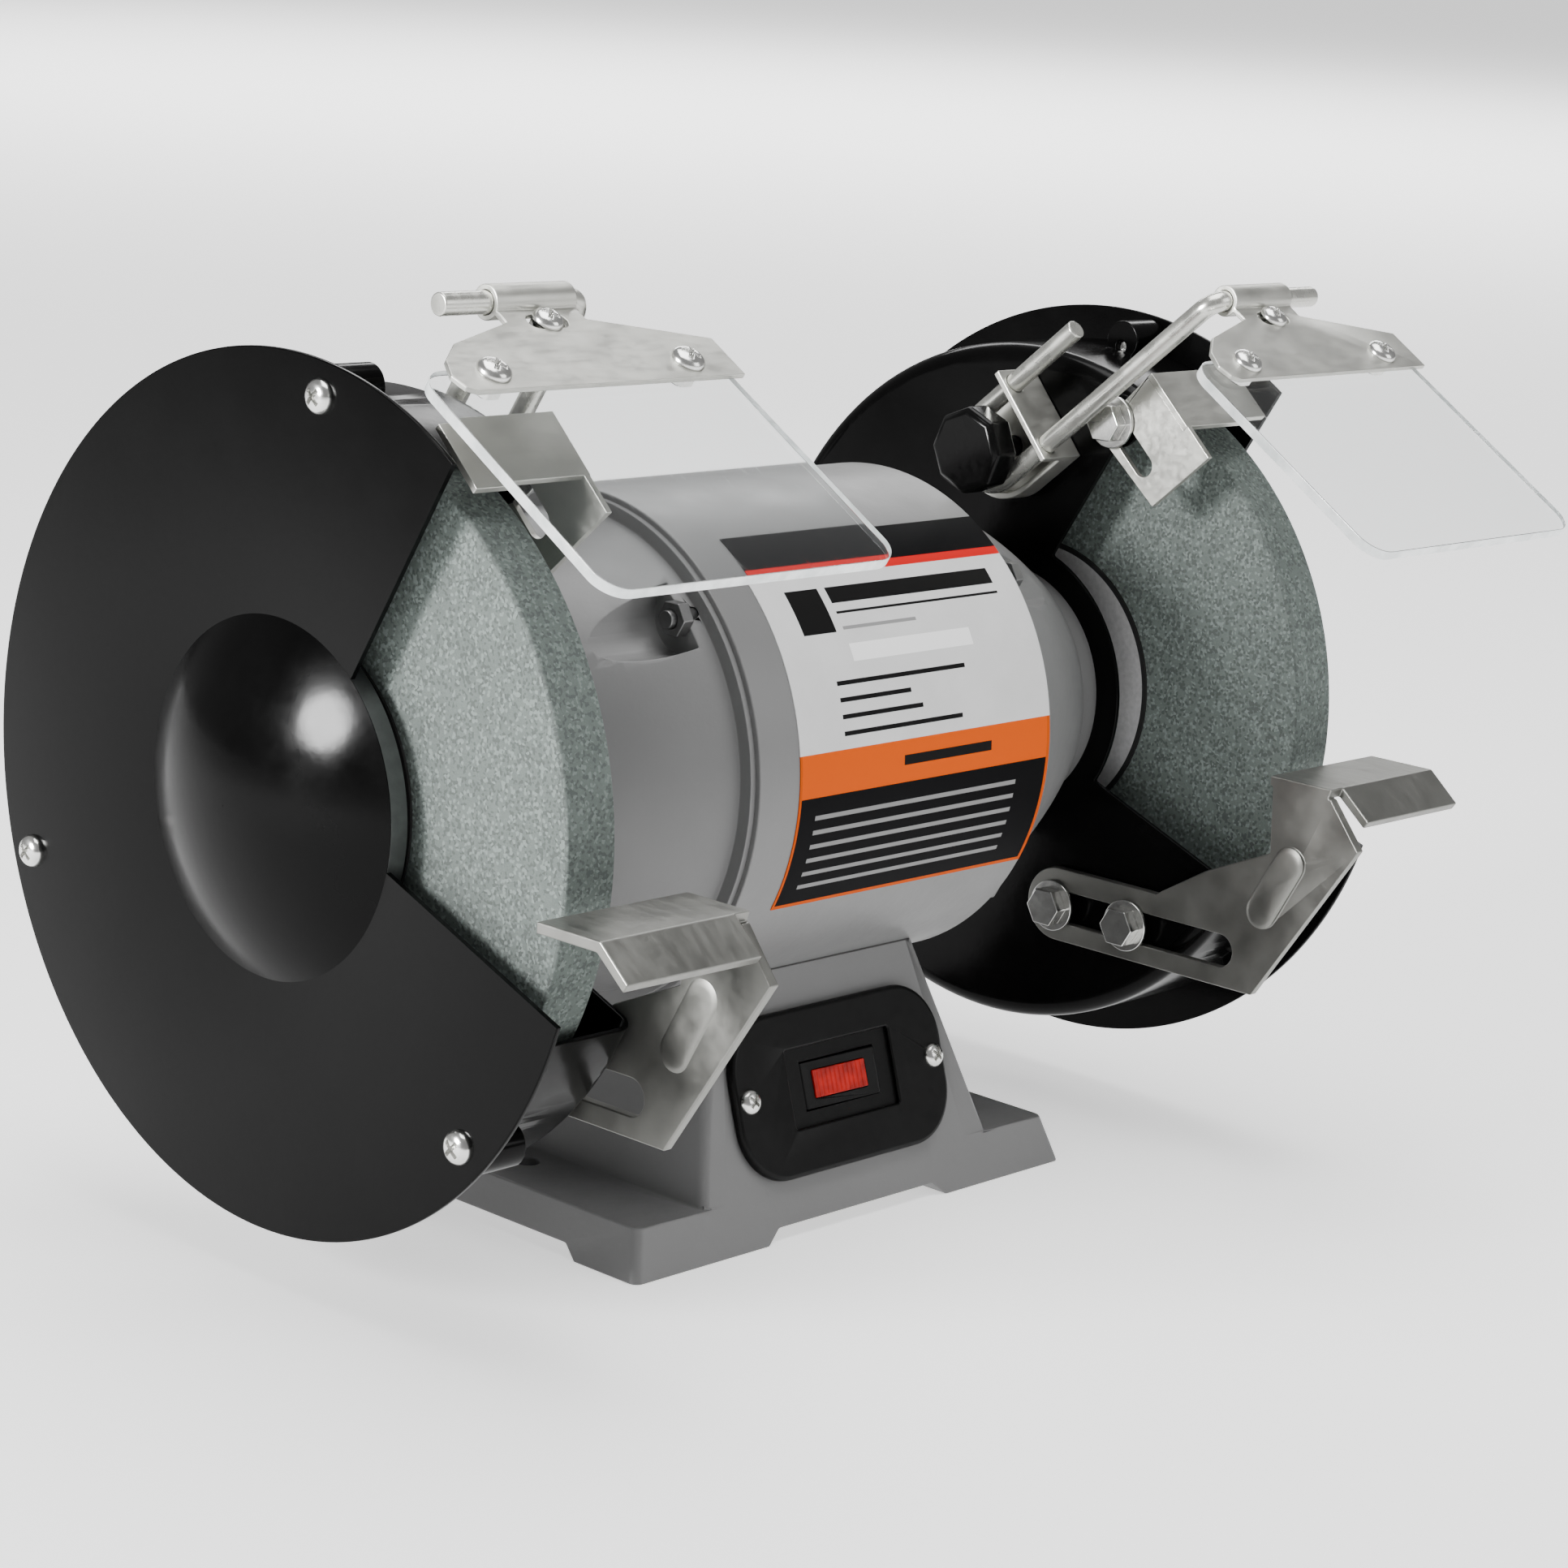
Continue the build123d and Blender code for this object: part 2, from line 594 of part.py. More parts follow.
def guard_housing():
    """Pressed drum round the wheel: a flat inner plate with a round shoulder and a wide band."""
    corner = (GUARD_FACE + GUARD_SHOULDER, GUARD_RADIUS - GUARD_SHOULDER)
    lean = math.sqrt(0.5)
    arcs = []
    for radius in (GUARD_SHOULDER, GUARD_SHOULDER - SHEET):
        start = (corner[0] - radius, corner[1])
        middle = (corner[0] - radius * lean, corner[1] + radius * lean)
        arcs.append((start, middle, (corner[0], corner[1] + radius)))
    (a, b, c), (d, e, f) = arcs
    outline = ThreePointArc(a, b, c) + ThreePointArc(d, e, f)
    outline += Polyline(c, (GUARD_RIM_END, c[1]), (GUARD_RIM_END, f[1]), f)
    outline += Polyline(d, (d[0], 14), (a[0], 14), a)
    drum = Pos(0, 0, SPINDLE_HEIGHT) * revolve(make_face(outline), Axis.X)
    for angle in COVER_SCREW_ANGLES:
        drum += bar(6, COVER_LUG_START, GUARD_RIM_END, around(109.5, angle)) - bar(
            GUARD_RADIUS - 1, COVER_LUG_START - 1, GUARD_RIM_END + 1, (0, SPINDLE_HEIGHT)
        )
    hub = bar(HUB_DISC_RADIUS, GUARD_FACE - 12, COVER_FACE + 22, (0, SPINDLE_HEIGHT))
    drum -= opening_wedge() - hub
    drum += bar(8, GUARD_FACE, GUARD_FACE + SHEET, ARRESTOR_BOLT)
    drum += bar(7, GUARD_FACE, GUARD_FACE + 6, ARM_PIVOT)
    for place in (*REST_BOLTS, ARRESTOR_BOLT, ARM_PIVOT):
        drum -= bar(BOLT_HOLE, GUARD_FACE - 1, GUARD_FACE + 8, place)
    for angle in GUARD_SCREW_ANGLES:
        drum -= bar(2.5, GUARD_FACE - 1, GUARD_FACE + 3, around(GUARD_SCREW_PLACE, angle))
    for angle in COVER_SCREW_ANGLES:
        drum -= bar(1.9, COVER_LUG_START - 1, GUARD_RIM_END + 1, around(COVER_SCREW_RADIUS, angle))
    return drum


def guard_cover():
    """Outer disc with a central dome over the nut, whose edge is folded in across the opening."""
    outer_ball = (DOME_RADIUS**2 + DOME_HEIGHT**2) / (2 * DOME_HEIGHT)
    centre = COVER_FACE + DOME_HEIGHT - outer_ball
    inner_ball = outer_ball - SHEET
    inner_edge = math.sqrt(inner_ball**2 - (GUARD_RIM_END - centre) ** 2)

    def dome_arc(ball, edge):
        half = math.asin(edge / ball) / 2
        middle = (centre + ball * math.cos(half), ball * math.sin(half))
        return ThreePointArc((centre + ball, 0), middle, (centre + ball * math.cos(2 * half), edge))

    rim = Polyline(
        (COVER_FACE, DOME_RADIUS), (COVER_FACE, COVER_RADIUS), (GUARD_RIM_END, COVER_RADIUS),
        (GUARD_RIM_END, inner_edge),
    )
    top = Line((centre + inner_ball, 0), (centre + outer_ball, 0))
    outline = dome_arc(outer_ball, DOME_RADIUS) + rim + dome_arc(inner_ball, inner_edge) + top
    disc = Pos(0, 0, SPINDLE_HEIGHT) * revolve(make_face(outline), Axis.X)
    keep = bar(DOME_RADIUS - 0.5, GUARD_FACE - 12, COVER_FACE + 22, (0, SPINDLE_HEIGHT))
    disc -= opening_wedge() - keep
    wall = turned([
        (COVER_FACE - DOME_RIM_DEPTH, DOME_RADIUS - 2), (COVER_FACE - DOME_RIM_DEPTH, DOME_RADIUS - 0.5),
        (COVER_FACE, DOME_RADIUS - 0.5), (COVER_FACE, DOME_RADIUS - 2),
    ])
    disc += wall & opening_wedge()
    for angle in COVER_SCREW_ANGLES:
        disc -= bar(1.9, GUARD_RIM_END - 1, COVER_FACE + 1, around(COVER_SCREW_RADIUS, angle))
    return disc


def cover_screws():
    """Three pan-head screws that hold the cover on the drum."""
    screws = []
    for angle in COVER_SCREW_ANGLES:
        place = around(COVER_SCREW_RADIUS, angle)
        shank = bar(1.9, COVER_LUG_START + 2, COVER_FACE, place)
        screws.append(shank + facing_x(COVER_FACE) * Pos(*place) * pan_head(4.6, 3))
    return Compound(children=screws)


def guard_mount_screws():
    """Four screws that hold the guard on the end bell's hub."""
    screws = []
    for angle in GUARD_SCREW_ANGLES:
        place = around(GUARD_SCREW_PLACE, angle)
        head = bar(4.5, GUARD_FACE + SHEET, GUARD_FACE + SHEET + 2.8, place)
        screws.append(head + bar(2.5, GUARD_FACE - 12, GUARD_FACE + SHEET, place))
    return Compound(children=screws)


# Tool rest and spark arrestor


def tool_rest():
    """Folded sheet: a slotted side plate, a platform in front of the wheel and a turned-down lip."""
    end = REST_FACE + REST_SHEET
    outline = [
        (-31, 56.5), (-107, 56.5), (-140.5, 107.5), (REST_BEND, REST_TOP - REST_SHEET),
        (REST_REAR - 1, REST_TOP - REST_SHEET), (-109.6, 100.8), (-86.6, 90.4), (-69, 79.5), (-31, 79.5),
    ]
    plate = sheet_x(outline, REST_FACE, end) + bar(11.5, REST_FACE, end, (-31, 68))
    plate += extrude(facing_x(REST_FACE - 1.2) * slot_between((-117.5, 99), (-109, 83), 5), amount=1.4)
    slot = facing_x(REST_FACE - 1) * slot_between((-31, 67.5), (-94, 67.5), 5)
    plate -= extrude(slot, amount=REST_SHEET + 2)
    platform = sheet_x(
        [(REST_BEND, REST_TOP), (REST_REAR, REST_TOP), (REST_REAR, REST_TOP - REST_SHEET),
         (REST_BEND + 1, REST_TOP - REST_SHEET)],
        REST_FACE, REST_OUTER,
    )
    lip = sheet_x(
        [(REST_BEND, REST_TOP), (REST_BEND + 1, REST_TOP - REST_SHEET),
         (REST_LIP_END + 1.6, REST_TOP - REST_LIP_DROP - 2.2), (REST_LIP_END, REST_TOP - REST_LIP_DROP)],
        REST_FACE + 5.5, REST_OUTER,
    )
    return plate + platform + lip


def rest_bolts():
    """Two hex bolts through the tool rest's slot."""
    pieces = []
    for place in REST_BOLTS:
        pieces += bolt_with_nut(place, REST_FACE - 1.6, 1.3, GUARD_FACE + SHEET)
    return Compound(children=pieces)


def spark_arrestor():
    """Slotted plate with a flange that reaches over the wheel."""
    plate = sheet_x(ARRESTOR_CORNERS, ARRESTOR_FACE, ARRESTOR_FACE + ARRESTOR_SHEET)
    (y1, z1), (y2, z2) = ARRESTOR_CORNERS[:2]
    long_side = math.hypot(y2 - y1, z2 - z1)
    along = ((y2 - y1) / long_side, (z2 - z1) / long_side)
    inward = (-along[1], along[0])
    flange = []
    for run, depth in ((0, 0), (20.5, 0), (20.5, ARRESTOR_SHEET), (0, ARRESTOR_SHEET)):
        flange.append((y1 + run * along[0] + depth * inward[0], z1 + run * along[1] + depth * inward[1]))
    plate += sheet_x(flange, ARRESTOR_FACE - 0.3, ARRESTOR_REACH)
    low = (ARRESTOR_BOLT[0] - 17 * SLIDE_Y, ARRESTOR_BOLT[1] - 17 * SLIDE_Z)
    slot = facing_x(ARRESTOR_FACE - 1) * slot_between(ARRESTOR_BOLT, low, 3.4)
    return plate - extrude(slot, amount=ARRESTOR_SHEET + 2)


def arrestor_bolt():
    """Hex bolt through the arrestor's slot."""
    pieces = bolt_with_nut(ARRESTOR_BOLT, ARRESTOR_FACE - 1.6, 1.3, GUARD_FACE + SHEET)
    return Compound(children=pieces)


# Eye shield arm


def arm_bracket(angle):
    """Sheet cup that swings about the stud; the wire's legs pass through its front web."""
    half = WEB_HALF
    floor_end = ARRESTOR_FACE + ARRESTOR_SHEET

    def corner(along, up):
        return arm_point(angle, along, up)

    def cup(grow, start, end):
        block = [corner(0, half - grow), corner(WEB_PLACE + 1, half - grow),
                 corner(WEB_PLACE + 1, grow - half), corner(0, grow - half)]
        return sheet_x(block, start, end) + bar(half - grow, start, end, ARM_PIVOT)

    floor = cup(0, floor_end - 2, floor_end)
    wall = cup(0, 116.5, floor_end) - cup(2, 115, floor_end + 1)
    web_outline = [corner(WEB_PLACE - 1, half), corner(WEB_PLACE + 1, half),
                   corner(WEB_PLACE + 1, -half), corner(WEB_PLACE - 1, -half)]
    web = sheet_x(web_outline, WIRE_PLANE - 4.5, floor_end)
    bracket = floor + wall + web - bar(WIRE_RADIUS + 0.08, floor_end - 3, floor_end + 1, ARM_PIVOT)
    for offset in (-LEG_OFFSET, LEG_OFFSET):
        y1, z1 = corner(WEB_PLACE - 3, offset)
        y2, z2 = corner(WEB_PLACE + 3, offset)
        bore = Plane(origin=(WIRE_PLANE, y1, z1), z_dir=(0, y2 - y1, z2 - z1))
        bracket -= bore * extrude(Circle(WIRE_RADIUS + 0.06), amount=6)
    return bracket


def arm_knob():
    """Eight-sided clamping knob with its threaded stud."""
    y, z = ARM_PIVOT
    grip = extrude(facing_x(KNOB_START) * Pos(y, z) * RegularPolygon(KNOB_RADIUS, 8), amount=KNOB_END - KNOB_START)
    grip = chamfer(grip.faces().sort_by(Axis.X)[0].edges(), 1.5)
    return grip + bar(WIRE_RADIUS, KNOB_END - 1, GUARD_FACE + 9, ARM_PIVOT)


def shield_arm(angle, retraction):
    """Bent wire: a short leg, a round turn about the stud, a long leg and the shield's rod."""
    shift = -retraction

    def point(along, up, x=WIRE_PLANE):
        y, z = arm_point(angle, along + shift, up)
        return x, y, z

    short_end = point(SHORT_LEG, LEG_OFFSET)
    turn = ThreePointArc(point(0, LEG_OFFSET), point(-LEG_OFFSET, 0), point(0, -LEG_OFFSET))
    long_line = Line(point(0, -LEG_OFFSET), point(ARM_REACH - ARM_BEND_RADIUS, -LEG_OFFSET))
    lean = ARM_BEND_RADIUS * (1 - math.sqrt(0.5))
    bend = ThreePointArc(
        point(ARM_REACH - ARM_BEND_RADIUS, -LEG_OFFSET),
        point(ARM_REACH - lean, -LEG_OFFSET, WIRE_PLANE + lean),
        point(ARM_REACH, -LEG_OFFSET, WIRE_PLANE + ARM_BEND_RADIUS),
    )
    rod = Line(point(ARM_REACH, -LEG_OFFSET, WIRE_PLANE + ARM_BEND_RADIUS), point(ARM_REACH, -LEG_OFFSET, ROD_END))
    path = Wire([Line(short_end, point(0, LEG_OFFSET)).edge(), turn.edge(), long_line.edge(), bend.edge(), rod.edge()])
    start = Plane(origin=short_end, z_dir=path % 0)
    return sweep(start * Circle(WIRE_RADIUS), path=path)


def rod_place(angle, retraction):
    """(Y, Z) of the rod that the eye shield hangs on."""
    return arm_point(angle, ARM_REACH - retraction, -LEG_OFFSET)


# Eye shield


def shield_frame(rod, slope, shift):
    """Plane of a shield: origin on the rod's axis, own X along the rod, own Y up the slope."""
    tilt = math.radians(slope)
    return Plane(origin=(shift, *rod), x_dir=(1, 0, 0), z_dir=(0, -math.sin(tilt), math.cos(tilt)))


def shield_bracket():
    """Sheet bracket with a curl round the rod, in line with the rod's axis."""
    down = -ROD_UP_SLOPE
    outline = Polyline(
        (90, down), (181, down), (181, down + 15), (CURL_END, down + 25), (CURL_END, 0), (CURL_START, 0),
        (CURL_START, down + 25), (95, down + 18), (88, down + 12), (85.5, down + 6), (87, down + 1.5), close=True,
    )
    sheet = Pos(0, 0, -BRACKET_SHEET / 2) * extrude(make_face(outline), amount=BRACKET_SHEET)
    sheet -= Pos(*BRACKET_SLOT, -BRACKET_SHEET) * extrude(SlotOverall(13, 5.5), amount=2 * BRACKET_SHEET)
    curl = Pos(CURL_START, 0, 0) * extrude(Plane.YZ * Circle(CURL_OUTER), amount=CURL_END - CURL_START)
    bore = Pos(CURL_START - 1, 0, 0) * extrude(Plane.YZ * Circle(CURL_INNER), amount=CURL_END - CURL_START + 2)
    bracket = sheet + curl - bore
    for x in SHIELD_SCREWS:
        bracket -= Pos(x, down + SHIELD_SCREW_RISE, 0) * Cylinder(2, 8)
    return bracket


def eye_shield():
    """Clear rectangular screen under the bracket."""
    down = -ROD_UP_SLOPE
    width = SHIELD_RIGHT - SHIELD_LEFT
    height = SHIELD_TOP - SHIELD_BOTTOM
    middle = ((SHIELD_LEFT + SHIELD_RIGHT) / 2, down + (SHIELD_TOP + SHIELD_BOTTOM) / 2)
    pane = extrude(RectangleRounded(width, height, 8), amount=SHIELD_THICKNESS)
    pane = Pos(*middle, -BRACKET_SHEET / 2 - SHIELD_THICKNESS) * pane
    for x in SHIELD_SCREWS:
        pane -= Pos(x, down + SHIELD_SCREW_RISE, 0) * Cylinder(2, 12)
    return pane


def shield_screws():
    """Two screws with nuts that clamp the screen to its bracket, and one in the bracket's slot."""
    top = BRACKET_SHEET / 2
    places = [((x, -ROD_UP_SLOPE + SHIELD_SCREW_RISE), 4.6, -top - SHIELD_THICKNESS) for x in SHIELD_SCREWS]
    places.append((BRACKET_SLOT, 4.2, -top))
    pieces = []
    for place, head_radius, under in places:
        spot = Pos(*place, 0)
        shank = Pos(0, 0, under - 4) * Cylinder(2, top - under + 4, align=(Align.CENTER, Align.CENTER, Align.MIN))
        nut = Pos(0, 0, under - 3) * extrude(RegularPolygon(4, 6) - Circle(2), amount=3)
        pieces.append(spot * (Pos(0, 0, top) * pan_head(head_radius, 2.6) + shank))
        pieces.append(spot * nut)
    return Compound(children=pieces)


def side_parts():
    """Right-hand pieces whose mirror images make the left-hand side."""
    return {
        "end_bell": end_bell(),
        "bearing": bearing(),
        "inner_flange": inner_flange(),
        "blotters": blotters(),
        "grinding_wheel": grinding_wheel(),
        "outer_flange": outer_flange(),
        "spindle_nut": spindle_nut(),
        "guard_housing": guard_housing(),
        "guard_cover": guard_cover(),
        "cover_screws": cover_screws(),
        "guard_mount_screws": guard_mount_screws(),
        "tool_rest": tool_rest(),
        "rest_bolts": rest_bolts(),
        "spark_arrestor": spark_arrestor(),
        "arrestor_bolt": arrestor_bolt(),
        "arm_knob": arm_knob(),
    }


def all_parts():
    """Every piece of the grinder by its node name."""
    parts = {
        "base_casting": base_casting(),
        "base_cover_plate": base_cover_plate(),
        "base_cover_screws": base_cover_screws(),
        "cord_gland": cord_gland(),
        "switch_plate": switch_plate(),
        "switch_plate_screws": switch_plate_screws(),
        "switch_body": switch_body(),
        "rocker": rocker(),
        "rocker_lens": rocker_lens(),
        "start_capacitor": start_capacitor(),
        "capacitor_clip": capacitor_clip(),
        "motor_barrel": motor_barrel(),
        "rating_label": rating_label(),
        "stator_core": stator_core(),
        "stator_windings": stator_windings(),
        "through_bolts": through_bolts(),
        "spindle": spindle(),
        "rotor_core": rotor_core(),
    }
    for name, shape in side_parts().items():
        parts["right_" + name] = shape
        parts["left_" + name] = mirrored(shape)
    parts["right_arm_bracket"] = arm_bracket(RIGHT_ARM_ANGLE)
    parts["left_arm_bracket"] = mirrored(arm_bracket(LEFT_ARM_ANGLE))
    parts["right_shield_arm"] = shield_arm(RIGHT_ARM_ANGLE, 0)
    parts["left_shield_arm"] = mirrored(shield_arm(LEFT_ARM_ANGLE, LEFT_RETRACTION))
    right_frame = shield_frame(rod_place(RIGHT_ARM_ANGLE, 0), RIGHT_SHIELD_SLOPE, 0)
    left_frame = shield_frame(rod_place(LEFT_ARM_ANGLE, LEFT_RETRACTION), LEFT_SHIELD_SLOPE, -SHIELD_PITCH)
    for name, shape in (
        ("shield_bracket", shield_bracket()), ("eye_shield", eye_shield()), ("shield_screws", shield_screws())
    ):
        parts["right_" + name] = right_frame * shape
        parts["left_" + name] = left_frame * shape
    return parts


for node, solid in all_parts().items():
    export_step(solid, f"parts/{node}.step")
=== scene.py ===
import json
import math

import bmesh
import bpy
import numpy as np
from bpy.props import FloatProperty, FloatVectorProperty, PointerProperty
from mathutils import Matrix, Vector


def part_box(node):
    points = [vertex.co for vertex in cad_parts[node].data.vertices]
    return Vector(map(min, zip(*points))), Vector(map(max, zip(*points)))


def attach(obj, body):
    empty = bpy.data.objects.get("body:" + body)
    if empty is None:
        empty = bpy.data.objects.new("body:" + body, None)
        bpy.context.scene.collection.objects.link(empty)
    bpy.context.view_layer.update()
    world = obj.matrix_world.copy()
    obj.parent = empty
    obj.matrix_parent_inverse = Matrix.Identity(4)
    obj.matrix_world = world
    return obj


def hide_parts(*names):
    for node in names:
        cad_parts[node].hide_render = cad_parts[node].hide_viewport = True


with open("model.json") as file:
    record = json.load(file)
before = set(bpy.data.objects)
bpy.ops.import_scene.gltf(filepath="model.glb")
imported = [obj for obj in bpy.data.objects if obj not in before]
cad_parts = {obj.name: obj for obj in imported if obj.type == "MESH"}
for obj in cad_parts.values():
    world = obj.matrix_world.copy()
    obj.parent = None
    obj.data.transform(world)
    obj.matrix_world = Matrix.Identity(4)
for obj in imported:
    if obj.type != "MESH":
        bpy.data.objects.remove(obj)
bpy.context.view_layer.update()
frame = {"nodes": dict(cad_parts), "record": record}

bl_info = {
    "name": "Bench Grinder Maker",
    "version": (1, 0, 0),
    "blender": (4, 5, 0),
    "location": "3D View > Sidebar > Grinder",
    "description": "Builds the visible surfaces and finishes of a two-wheel bench grinder",
    "category": "Object",
}

MM = 0.001
SIDES = (("left", -1), ("right", 1))
FULL_TURN = 2 * math.pi

# Sizes shared by the pieces, in metres, read from the frame where a piece's box gives them
WHEEL_LOW, WHEEL_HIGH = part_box("right_grinding_wheel")
AXIS_HEIGHT = (WHEEL_LOW.z + WHEEL_HIGH.z) / 2
WHEEL_RADIUS = (WHEEL_HIGH.z - WHEEL_LOW.z) / 2
COVER_LOW, COVER_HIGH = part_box("right_guard_cover")
COVER_RADIUS = AXIS_HEIGHT - COVER_LOW.z
SHEET = 1.5 * MM
DOME_RADIUS = 48 * MM
DOME_HEIGHT = 15 * MM
COVER_FACE = COVER_HIGH.x - DOME_HEIGHT
RIM_END = COVER_FACE - 6 * MM
OPENING_ANGLE = math.radians(19.2)
OPENING_HALF = math.radians(40.4)
OPENING_APEX = 12 * MM
FRONT_LEAN = math.atan(0.33)
BORE_RADIUS = 8 * MM
CARD_OUTLINE_RADIUS = 43 * MM
RIB_HALF_WIDTH = 5.2 * MM

# Ends of a tool rest's rib, as millimetres along Y and up
RIB_ENDS = ((-117.5, 99), (-109, 83))

# Shading breaks across edges sharper than these
SHARP_EDGE = math.radians(40)
SHARP_CAD_EDGE = math.radians(32)

# Studio: the floor in metres, the camera's target, distance, lens and sensor in millimetres
FLOOR_HALF = 60.0
CAMERA_AZIMUTH = math.radians(-47.25)
CAMERA_ELEVATION = math.radians(12.71)
CAMERA_ROLL = math.radians(3.46)
CAMERA_TARGET = (27.57, 0, 111.68)
CAMERA_DISTANCE = 1137.8
CAMERA_LENS = 88.24
CAMERA_SENSOR = 36


class GrinderSettings(bpy.types.PropertyGroup):
    """Sizes and colours that a maker would change."""

    edge_radius: FloatProperty(
        name="Edge radius", description="Rounding of cut sheet edges", default=0.4 * MM, unit="LENGTH"
    )
    paint_grey: FloatVectorProperty(
        name="Machine paint", description="Colour of the motor and base", subtype="COLOR",
        size=3, default=(0.15, 0.15, 0.15),
    )
    guard_black: FloatVectorProperty(
        name="Guard paint", description="Colour of the guards", subtype="COLOR", size=3,
        default=(0.0022, 0.0022, 0.0022),
    )
    grit_grey: FloatVectorProperty(
        name="Abrasive", description="Mean colour of the wheels", subtype="COLOR", size=3,
        default=(0.148, 0.176, 0.163),
    )
    zinc: FloatVectorProperty(
        name="Zinc plate", description="Colour of the plated brackets", subtype="COLOR", size=3,
        default=(0.52, 0.52, 0.485),
    )
    orange: FloatVectorProperty(
        name="Label band", description="Colour of the label's bright band", subtype="COLOR", size=3,
        default=(0.64, 0.085, 0.0005),
    )
    lamp_red: FloatVectorProperty(
        name="Lamp lens", description="Colour of the rocker's lens", subtype="COLOR", size=3,
        default=(0.36, 0.004, 0.001),
    )


def settings():
    """The settings of the open scene."""
    return bpy.context.scene.grinder_settings


# Shader expressions


class Value:
    """A number socket whose arithmetic adds Math nodes."""

    def __init__(self, finish, socket):
        self.finish = finish
        self.socket = socket

    def math(self, operation, *others):
        """This value and others through one Math node."""
        inputs = {0: self}
        for place, other in enumerate(others, 1):
            inputs[place] = other
        return self.finish.node("ShaderNodeMath", {"operation": operation}, inputs)

    def flipped(self, operation, other):
        """A number first and this value second."""
        return self.finish.node("ShaderNodeMath", {"operation": operation}, {0: other, 1: self})

    def __add__(self, other):
        return self.math("ADD", other)

    __radd__ = __add__

    def __mul__(self, other):
        return self.math("MULTIPLY", other)

    __rmul__ = __mul__

    def __sub__(self, other):
        return self.math("SUBTRACT", other)

    def __rsub__(self, other):
        return self.flipped("SUBTRACT", other)

    def __truediv__(self, other):
        return self.math("DIVIDE", other)

    def above(self, edge):
        """1 where this value is greater than an edge."""
        return self.math("GREATER_THAN", edge)

    def within(self, low, high):
        """1 where this value lies between two limits."""
        return self.above(low) * (1 - self.above(high))


class Finish:
    """A node material built by short calls."""

    def __init__(self, name, **constants):
        self.material = bpy.data.materials.new(name)
        self.material.use_nodes = True
        self.tree = self.material.node_tree
        self.shader = self.tree.nodes["Principled BSDF"]
        for socket, value in constants.items():
            self.shader.inputs[socket.replace("_", " ")].default_value = value

    def node(self, kind, options=None, inputs=None, output=0):
        """Adds a node, sets its options, then its sockets, and gives one output."""
        node = self.tree.nodes.new(kind)
        for name, value in (options or {}).items():
            setattr(node, name, value)
        for name, value in (inputs or {}).items():
            self.plug(node.inputs[name], value)
        return Value(self, node.outputs[output])

    def plug(self, socket, value):
        """Links a value, or sets a constant."""
        if isinstance(value, Value):
            self.tree.links.new(value.socket, socket)
        elif socket.type == "RGBA" and len(value) == 3:
            socket.default_value = (*value, 1)
        else:
            socket.default_value = value

    def coords(self, scale=(1, 1, 1)):
        """Object coordinates, stretched."""
        place = self.node("ShaderNodeTexCoord", output="Object")
        return self.node("ShaderNodeMapping", None, {"Vector": place, "Scale": scale})

    def axis(self, name):
        """One Object coordinate as a number."""
        place = self.node("ShaderNodeTexCoord", output="Object")
        return self.node("ShaderNodeSeparateXYZ", None, {0: place}, output=name)

    def off_spindle(self):
        """Distance from the spindle's axis."""
        rise = self.axis("Z") - AXIS_HEIGHT
        depth = self.axis("Y")
        return (rise * rise + depth * depth).math("SQRT")

    def noise(self, scale, detail=3, roughness=0.55, stretch=(1, 1, 1)):
        """Fractal noise on Object coordinates."""
        return self.node(
            "ShaderNodeTexNoise", None,
            {"Vector": self.coords(stretch), "Scale": scale, "Detail": detail, "Roughness": roughness},
        )

    def grains(self, scale):
        """Random grey of each cell of a Voronoi pattern."""
        inputs = {"Vector": self.coords(), "Scale": scale}
        cell = self.node("ShaderNodeTexVoronoi", None, inputs, output="Color")
        return self.node("ShaderNodeSeparateColor", None, {0: cell}, output=0)

    def ramp(self, value, low, high, to_low=0.0, to_high=1.0):
        """Maps a range of a value onto another, held at its ends."""
        return self.node(
            "ShaderNodeMapRange", None,
            {"Value": value, "From Min": low, "From Max": high, "To Min": to_low, "To Max": to_high},
        )

    def mix(self, factor, first, second):
        """Blends two colours."""
        node = self.tree.nodes.new("ShaderNodeMix")
        node.data_type = "RGBA"
        self.plug(node.inputs[0], factor)
        self.plug(node.inputs[6], first)
        self.plug(node.inputs[7], second)
        return Value(self, node.outputs[2])

    def set(self, socket, value):
        """Feeds one of the shader's sockets."""
        self.plug(self.shader.inputs[socket], value)

    def bump(self, height, distance):
        """Raises the surface by a height."""
        inputs = {"Height": height, "Distance": distance, "Strength": 1.0}
        self.set("Normal", self.node("ShaderNodeBump", None, inputs))


def shade(colour, factor):
    """A colour made lighter or darker."""
    return tuple(min(1.0, part * factor) for part in colour)


def paint_finish(name, colour, roughness, peel, blotch, gloss=0.45):
    """Sprayed enamel: faint cloudiness, dust specks and an orange-peel skin."""
    finish = Finish(name, Roughness=roughness, Specular_IOR_Level=gloss)
    cloud = finish.ramp(finish.noise(22, 4), 0.3, 0.7)
    dust = finish.ramp(finish.noise(900, 2), 0.68, 0.78)
    tone = finish.mix(cloud, shade(colour, 1 - blotch), shade(colour, 1 + blotch))
    finish.set("Base Color", finish.mix(dust * 0.15, tone, shade(colour, 1.4)))
    finish.set("Roughness", finish.ramp(finish.noise(60, 3), 0.3, 0.7, roughness - 0.05, roughness + 0.07))
    finish.bump(finish.noise(420, 2), 0.05 * MM * peel)
    return finish.material


